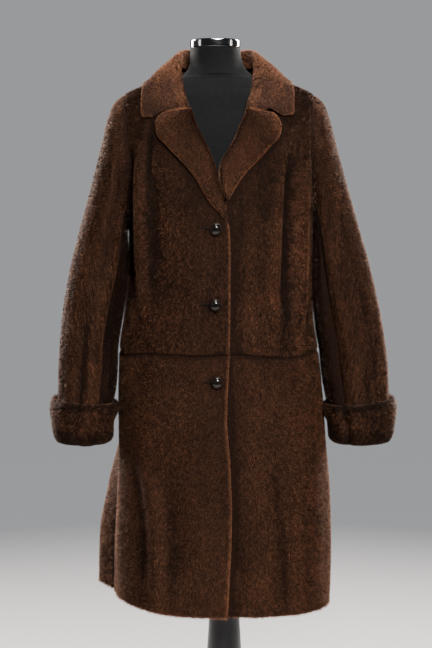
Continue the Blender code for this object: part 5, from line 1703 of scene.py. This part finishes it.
class COAT_OT_fronts(CoatOperator):
    """Make both fronts: bodices and skirts"""

    bl_idname = "coat.fronts"
    bl_label = "Fronts"

    def build(self, context):
        for number, side in enumerate(SIDES):
            # The masks shorten the hair and paint shadow beside the top front's edge, round the buttons and
            # under the lapels' edges.
            pressed_and_shaded = self.beside_edge if side == "left" else self.round_buttons
            grids = front_bodice_grids(side)
            under = np.maximum(pressed_and_shaded(grids[0]), self.beside_lapel(side, grids[0]))
            edges = {"free": ("first",), "seams": ("low", "last", "high")}
            add_fur(f"front_bodice_{side}", grids, DOWN, 10 + number, pressed_and_shaded=under, **edges)
            grids = front_skirt_grids(side)
            edges = {"free": ("first", "low"), "seams": ("high", "last")}
            tones = {"pale": 0.13, "deep": 0.30, "grain": 0.65}
            under = pressed_and_shaded(grids[0])
            add_fur(f"front_skirt_{side}", grids, DOWN, 12 + number, pressed_and_shaded=under, **edges, **tones)

    @staticmethod
    def beside_lapel(side, grid):
        """0.9 under the lapel's free edge, fading to 0 at 14 mm from it: shorter hair, darkened as a painted
        shadow of the lapel.
        """
        edge = lapel_lines(side, np.linspace(*lapel_lines(side)[0][[0, -1], 1], 160))[1]
        away = np.hypot(grid[..., None, 0] - edge[:, 0], grid[..., None, 2] - edge[:, 1]).min(axis=-1)
        return 0.9 * step(1 - away / 0.014)

    @staticmethod
    def round_buttons(grid):
        """1 under each button, fading to 0 at 17 mm from its middle, and more to the buttonhole's side.
        The hair there is shorter and darkened, a painted shadow of the button.
        """
        near = 0 * grid[..., 0]
        for x, z in BUTTONS.values():
            sideways = grid[..., 0] - x
            away = np.hypot(sideways * np.where(sideways < 0, 0.7, 1.0), grid[..., 2] - z)
            near = np.maximum(near, step((0.017 - away) / 0.008))
        return near

    @staticmethod
    def beside_edge(grid):
        """1 where the top front lies on the other, fading to 0 at 9 mm past its edge, or 14 on the skirt.
        The under front's hair there is shorter and darkened, a painted shadow of the top front's edge.
        """
        x, z = grid[..., 0], grid[..., 2]
        past = (x - inner_edge_x("right", z)) / 0.009
        return step(1 + 0.6 * step((0.87 - z) / 0.04) - past) * step((1.20 - z) / 0.05)


class COAT_OT_backs(CoatOperator):
    """Make the back bodice and the back skirt"""

    bl_idname = "coat.backs"
    bl_label = "Backs"

    def build(self, context):
        edges = ("low", "high", "first", "last")
        add_fur("back_bodice", back_bodice_grids(), DOWN, 20, seams=edges)
        tones = {"pale": 0.13, "deep": 0.35, "grain": 0.65}
        add_fur("back_skirt", back_skirt_grids(), DOWN, 21, free=("low",), seams=edges[1:], **tones)


class COAT_OT_sleeves(CoatOperator):
    """Make the four sleeve panels"""

    bl_idname = "coat.sleeves"
    bl_label = "Sleeves"

    def build(self, context):
        edges = {"free": ("high",), "seams": ("low", "first", "last")}
        for number, side in enumerate(SIDES):
            # The under panels are painted far darker: painted shade on the sleeve's side next to the body.
            for extra, (part, pale) in enumerate((("upper", -0.08), ("under", -0.80))):
                grids, seed = sleeve_panel_grids(side, part), 30 + 2 * number + extra
                add_fur(f"sleeve_{part}_{side}", grids, (1, 0), seed, pale=pale, **edges)


class COAT_OT_cuffs(CoatOperator):
    """Make the two turned-back cuffs"""

    bl_idname = "coat.cuffs"
    bl_label = "Cuffs"

    def build(self, context):
        tones = {"pale": 0.18, "deep": 0.2, "grain": 0.8}
        for number, side in enumerate(SIDES):
            grids = cuff_grids(side)
            under = self.flatter_and_shaded(grids[0])
            add_fur(f"cuff_{side}", grids, DOWN, 40 + number, closed=True, pressed_and_shaded=under, **tones)

    @staticmethod
    def flatter_and_shaded(grid):
        """0.5, and more at the cuff's lower end, its upper end and the side towards the body.
        It shortens the hair everywhere, most at both ends, and darkens it: at the lower end and by the body
        that is painted shade.
        """
        x, _, z = np.moveaxis(*joined(grid), -1, 0)
        ends = step((z.min() + 0.036 - z) / 0.030) + 0.5 * step((z - z.max() + 0.020) / 0.014)
        return np.clip(0.50 + 0.45 * ends + 0.30 * step(1 - (abs(x) - abs(x).min()) / 0.040), 0, 1)


class COAT_OT_collar(CoatOperator):
    """Make the collar, stand and fall in one"""

    bl_idname = "coat.collar"
    bl_label = "Collar"

    def build(self, context):
        edges = {"free": ("last",), "over": ("low", "high")}
        # The collar's hair is painted paler: painted light on its upturned faces.
        add_fur("collar", collar_grids(), (0, 1), 50, pale=0.46, grain=0.8, **edges)


class COAT_OT_lapels(CoatOperator):
    """Make both lapels with their facing"""

    bl_idname = "coat.lapels"
    bl_label = "Lapels"

    def build(self, context):
        edges = {"free": ("last",), "over": ("high",)}
        for number, side in enumerate(SIDES):
            # The lapels' hair is painted much paler: painted light on their faces.
            add_fur(f"lapel_{side}", lapel_grids(side), (-1, 0.5), 55 + number, pale=0.72, grain=0.8, **edges)


class COAT_OT_buttons(CoatOperator):
    """Make the buttons, their rims and the ends of their buttonholes"""

    bl_idname = "coat.buttons"
    bl_label = "Buttons"

    def build(self, context):
        names = ("black button", "button rim", "buttonhole")
        black, rim, slit = ([bpy.data.materials[name]] for name in names)
        circle = np.linspace(0, 2 * np.pi, 13)
        tube = [(RIM_RADIUS + RIM_TUBE * math.cos(a), RIM_HEIGHT + RIM_TUBE * math.sin(a)) for a in circle]
        for name, (x, z) in BUTTONS.items():
            place, normal = body(theta_at(x, z, "front"), z, front_lift("right", x, z) + 3 * SEAM)
            rings = turned(finer(BUTTON_PROFILE, 26), 48, place, normal)
            dome = add_turned(f"button_{name}_dome", rings, black)
            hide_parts(f"button_{name}")
            rings = turned(tube, 56, place, normal)
            index = numbered(*rings.shape[:2])
            index[-1] = index[0]
            add_mesh(f"button_{name}_rim", rings[:-1].reshape(-1, 3), cells(index), rim)
            # Each slit is a near-black lens on the fur, painted shade of the buttonhole's opening.
            self.add_slit(f"button_{name}_slit", x + SLIT_FROM_BUTTON[0], z + SLIT_FROM_BUTTON[1], slit)

    @staticmethod
    def add_slit(name, x, z, finishes):
        """A lens along the front, half as wide as sqrt(1 - t^2) says, that stands a little proud."""
        t, s = np.meshgrid(np.linspace(-1, 1, 25), np.linspace(-1, 1, 9), indexing="ij")
        wide = np.sqrt(np.clip(1 - t * t, 0.0, 1)) + 0.02
        across, along = x + SLIT_HALF[0] * t, z + SLIT_HALF[1] * s * wide
        heights = (0.0006 * (1 - s * s), -0.0016 + 0 * s)
        grids = [on_front("right", across, along, height) for height in heights]
        points, faces, _ = wall(*grids, closed=False)
        add_mesh(name, points, faces, finishes, sharp_degrees=50.0)


class COAT_OT_form(CoatOperator):
    """Make the form's cover and its metal cap"""

    bl_idname = "coat.form"
    bl_label = "Dress form"

    def build(self, context):
        angles = -2 * np.pi * np.arange(FORM_AROUND) / FORM_AROUND
        rings = [self.ring(angles, *row, 2.15) for row in FORM_TORSO]
        for z in FORM_SHOULDER_Z:
            rings.append(plain_body(angles, z + 0 * angles) - body(angles, z)[1] * (WALL + FORM_GAP))
        rings += [self.ring(angles, *row, 2.0) for row in FORM_NECK]
        rings = np.stack(rings)
        numbers = np.arange(len(rings))
        at = np.union1d(numbers, np.linspace(0, numbers[-1], 6 * len(rings)))
        fine = [[smooth(at, numbers, rings[:, j, i]) for i in range(3)] for j in range(FORM_AROUND)]
        fine = np.moveaxis(fine, 2, 0)
        centre = fine.mean(axis=1, keepdims=True)
        groove = SEAM_DEPTH * np.exp(-(((fine[..., 2:] - NECK_SEAM_Z) / SEAM_WIDTH) ** 2))
        fine = fine - unit(fine - centre) * groove
        ends = centre[:1] + 0 * fine[:1], centre[-1:] + 0 * fine[-1:]
        rings = np.concatenate([ends[0], fine, ends[1]])
        jersey, chrome = ([bpy.data.materials[name]] for name in ("black jersey", "chrome"))
        cover = add_turned("form_torso_cover", rings, jersey, 45.0, corners=(1, 0, 3, 2))
        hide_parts("form_torso")
        rings = turned(finer(NECK_CAP_PROFILE, 40), 96, (NECK_CAP_X, 0.0, NECK_CAP_BASE_Z))
        cap = add_turned("form_neck_plate", rings, chrome)
        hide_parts("form_neck_cap")

    @staticmethod
    def ring(angles, z, half_width, front, back, x, square):
        """A level oval of the form."""
        across, along = oval(angles, half_width, half_width, front, back, square)
        return np.stack([across + x, along, z + 0 * along], axis=-1)


class COAT_OT_stand(CoatOperator):
    """Make the pole and its round base"""

    bl_idname = "coat.stand"
    bl_label = "Stand"

    def build(self, context):
        paint = [bpy.data.materials["black paint"]]
        for name, node, profile, x in (
            ("stand_pole_turned", "stand_pole", POLE_PROFILE, POLE_X),
            ("stand_base_turned", "stand_base", BASE_PROFILE, 0.0),
        ):
            made = add_turned(name, turned(finer(profile, 44), 64, (x, 0.0, 0.0)), paint)
            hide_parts(node)


class COAT_OT_stage(CoatOperator):
    """Make the floor, the lights and the camera"""

    bl_idname = "coat.stage"
    bl_label = "Stage"

    def build(self, context):
        stage = context.scene.coat_stage
        floor_material()
        ring = 2 * np.pi * np.arange(FLOOR_SIDES) / FLOOR_SIDES
        points = np.stack([FLOOR_RADIUS * np.cos(ring), FLOOR_RADIUS * np.sin(ring), 0 * ring], axis=1)
        mesh = bpy.data.meshes.new("floor")
        mesh.from_pydata(points.tolist(), [], [tuple(range(FLOOR_SIDES))])
        mesh.materials.append(bpy.data.materials["studio floor"])
        floor = bpy.data.objects.new("floor", mesh)
        context.scene.collection.objects.link(floor)
        self.light_world(context.scene, stage)
        for name, place, target, size, setting, share, colour in LIGHTS:
            lamp = bpy.data.lights.new(name, "AREA")
            lamp.shape, lamp.size, lamp.size_y, lamp.color = "RECTANGLE", *size, colour
            lamp.energy = share * getattr(stage, setting)
            made = bpy.data.objects.new(name, lamp)
            made.location, made.rotation_euler = place, self.aim(place, target)
            context.scene.collection.objects.link(made)
        camera = bpy.data.cameras.new("camera")
        camera.lens, camera.sensor_width, camera.clip_end = stage.lens, FILM, 30.0
        made = bpy.data.objects.new("camera", camera)
        made.location, made.rotation_euler = CAMERA_PLACE, (math.radians(90 - CAMERA_DOWN), 0.0, 0.0)
        context.scene.collection.objects.link(made)
        context.scene.camera = made

    @staticmethod
    def light_world(scene, stage):
        """The camera sees the backdrop's own brightness, and everything else gets the even light."""
        scene.world = scene.world or bpy.data.worlds.new("studio")
        scene.world.use_nodes = True
        tree = scene.world.node_tree
        seen = tree.nodes["Background"]
        seen.inputs["Color"].default_value = solid(BACKDROP)
        seen.inputs["Strength"].default_value = stage.backdrop
        links = (("Color", (0.86, 0.90, 1.0, 1.0)), ("Strength", stage.around))
        even = put(tree, "ShaderNodeBackground", links)
        direct = put(tree, "ShaderNodeLightPath").outputs["Is Camera Ray"]
        either = put(tree, "ShaderNodeMixShader", ((0, direct), (1, even.outputs[0]), (2, seen.outputs[0])))
        tree.links.new(either.outputs[0], tree.nodes["World Output"].inputs["Surface"])

    @staticmethod
    def aim(place, target):
        """Angles that turn a light's own -Z towards target."""
        x, y, z = (target[i] - place[i] for i in range(3))
        return (math.acos(-z / math.sqrt(x * x + y * y + z * z)), 0.0, math.atan2(-x, y) if x or y else 0.0)


PIECES = (
    COAT_OT_materials,
    COAT_OT_fronts,
    COAT_OT_backs,
    COAT_OT_sleeves,
    COAT_OT_cuffs,
    COAT_OT_collar,
    COAT_OT_lapels,
    COAT_OT_buttons,
    COAT_OT_form,
    COAT_OT_stand,
    COAT_OT_stage,
)


class COAT_PT_panel(bpy.types.Panel):
    """Lists the settings and the operators."""

    bl_idname = "COAT_PT_panel"
    bl_label = "Sheared fur coat"
    bl_space_type = "VIEW_3D"
    bl_region_type = "UI"
    bl_category = "Coat"

    def draw(self, context):
        for setting, group in SETTINGS.items():
            box = self.layout.box()
            for name in group.__annotations__:
                box.prop(getattr(context.scene, setting), name)
        for piece in PIECES:
            self.layout.operator(piece.bl_idname)


CLASSES = (*SETTINGS.values(), *PIECES, COAT_PT_panel)


def register():
    for made in CLASSES:
        bpy.utils.register_class(made)
    for name, group in SETTINGS.items():
        setattr(bpy.types.Scene, name, PointerProperty(type=group))


def unregister():
    for name in SETTINGS:
        delattr(bpy.types.Scene, name)
    for made in reversed(CLASSES):
        bpy.utils.unregister_class(made)


def main():
    register()
    for piece in PIECES:
        group, name = piece.bl_idname.split(".")
        getattr(getattr(bpy.ops, group), name)()


if __name__ == "__main__":
    main()
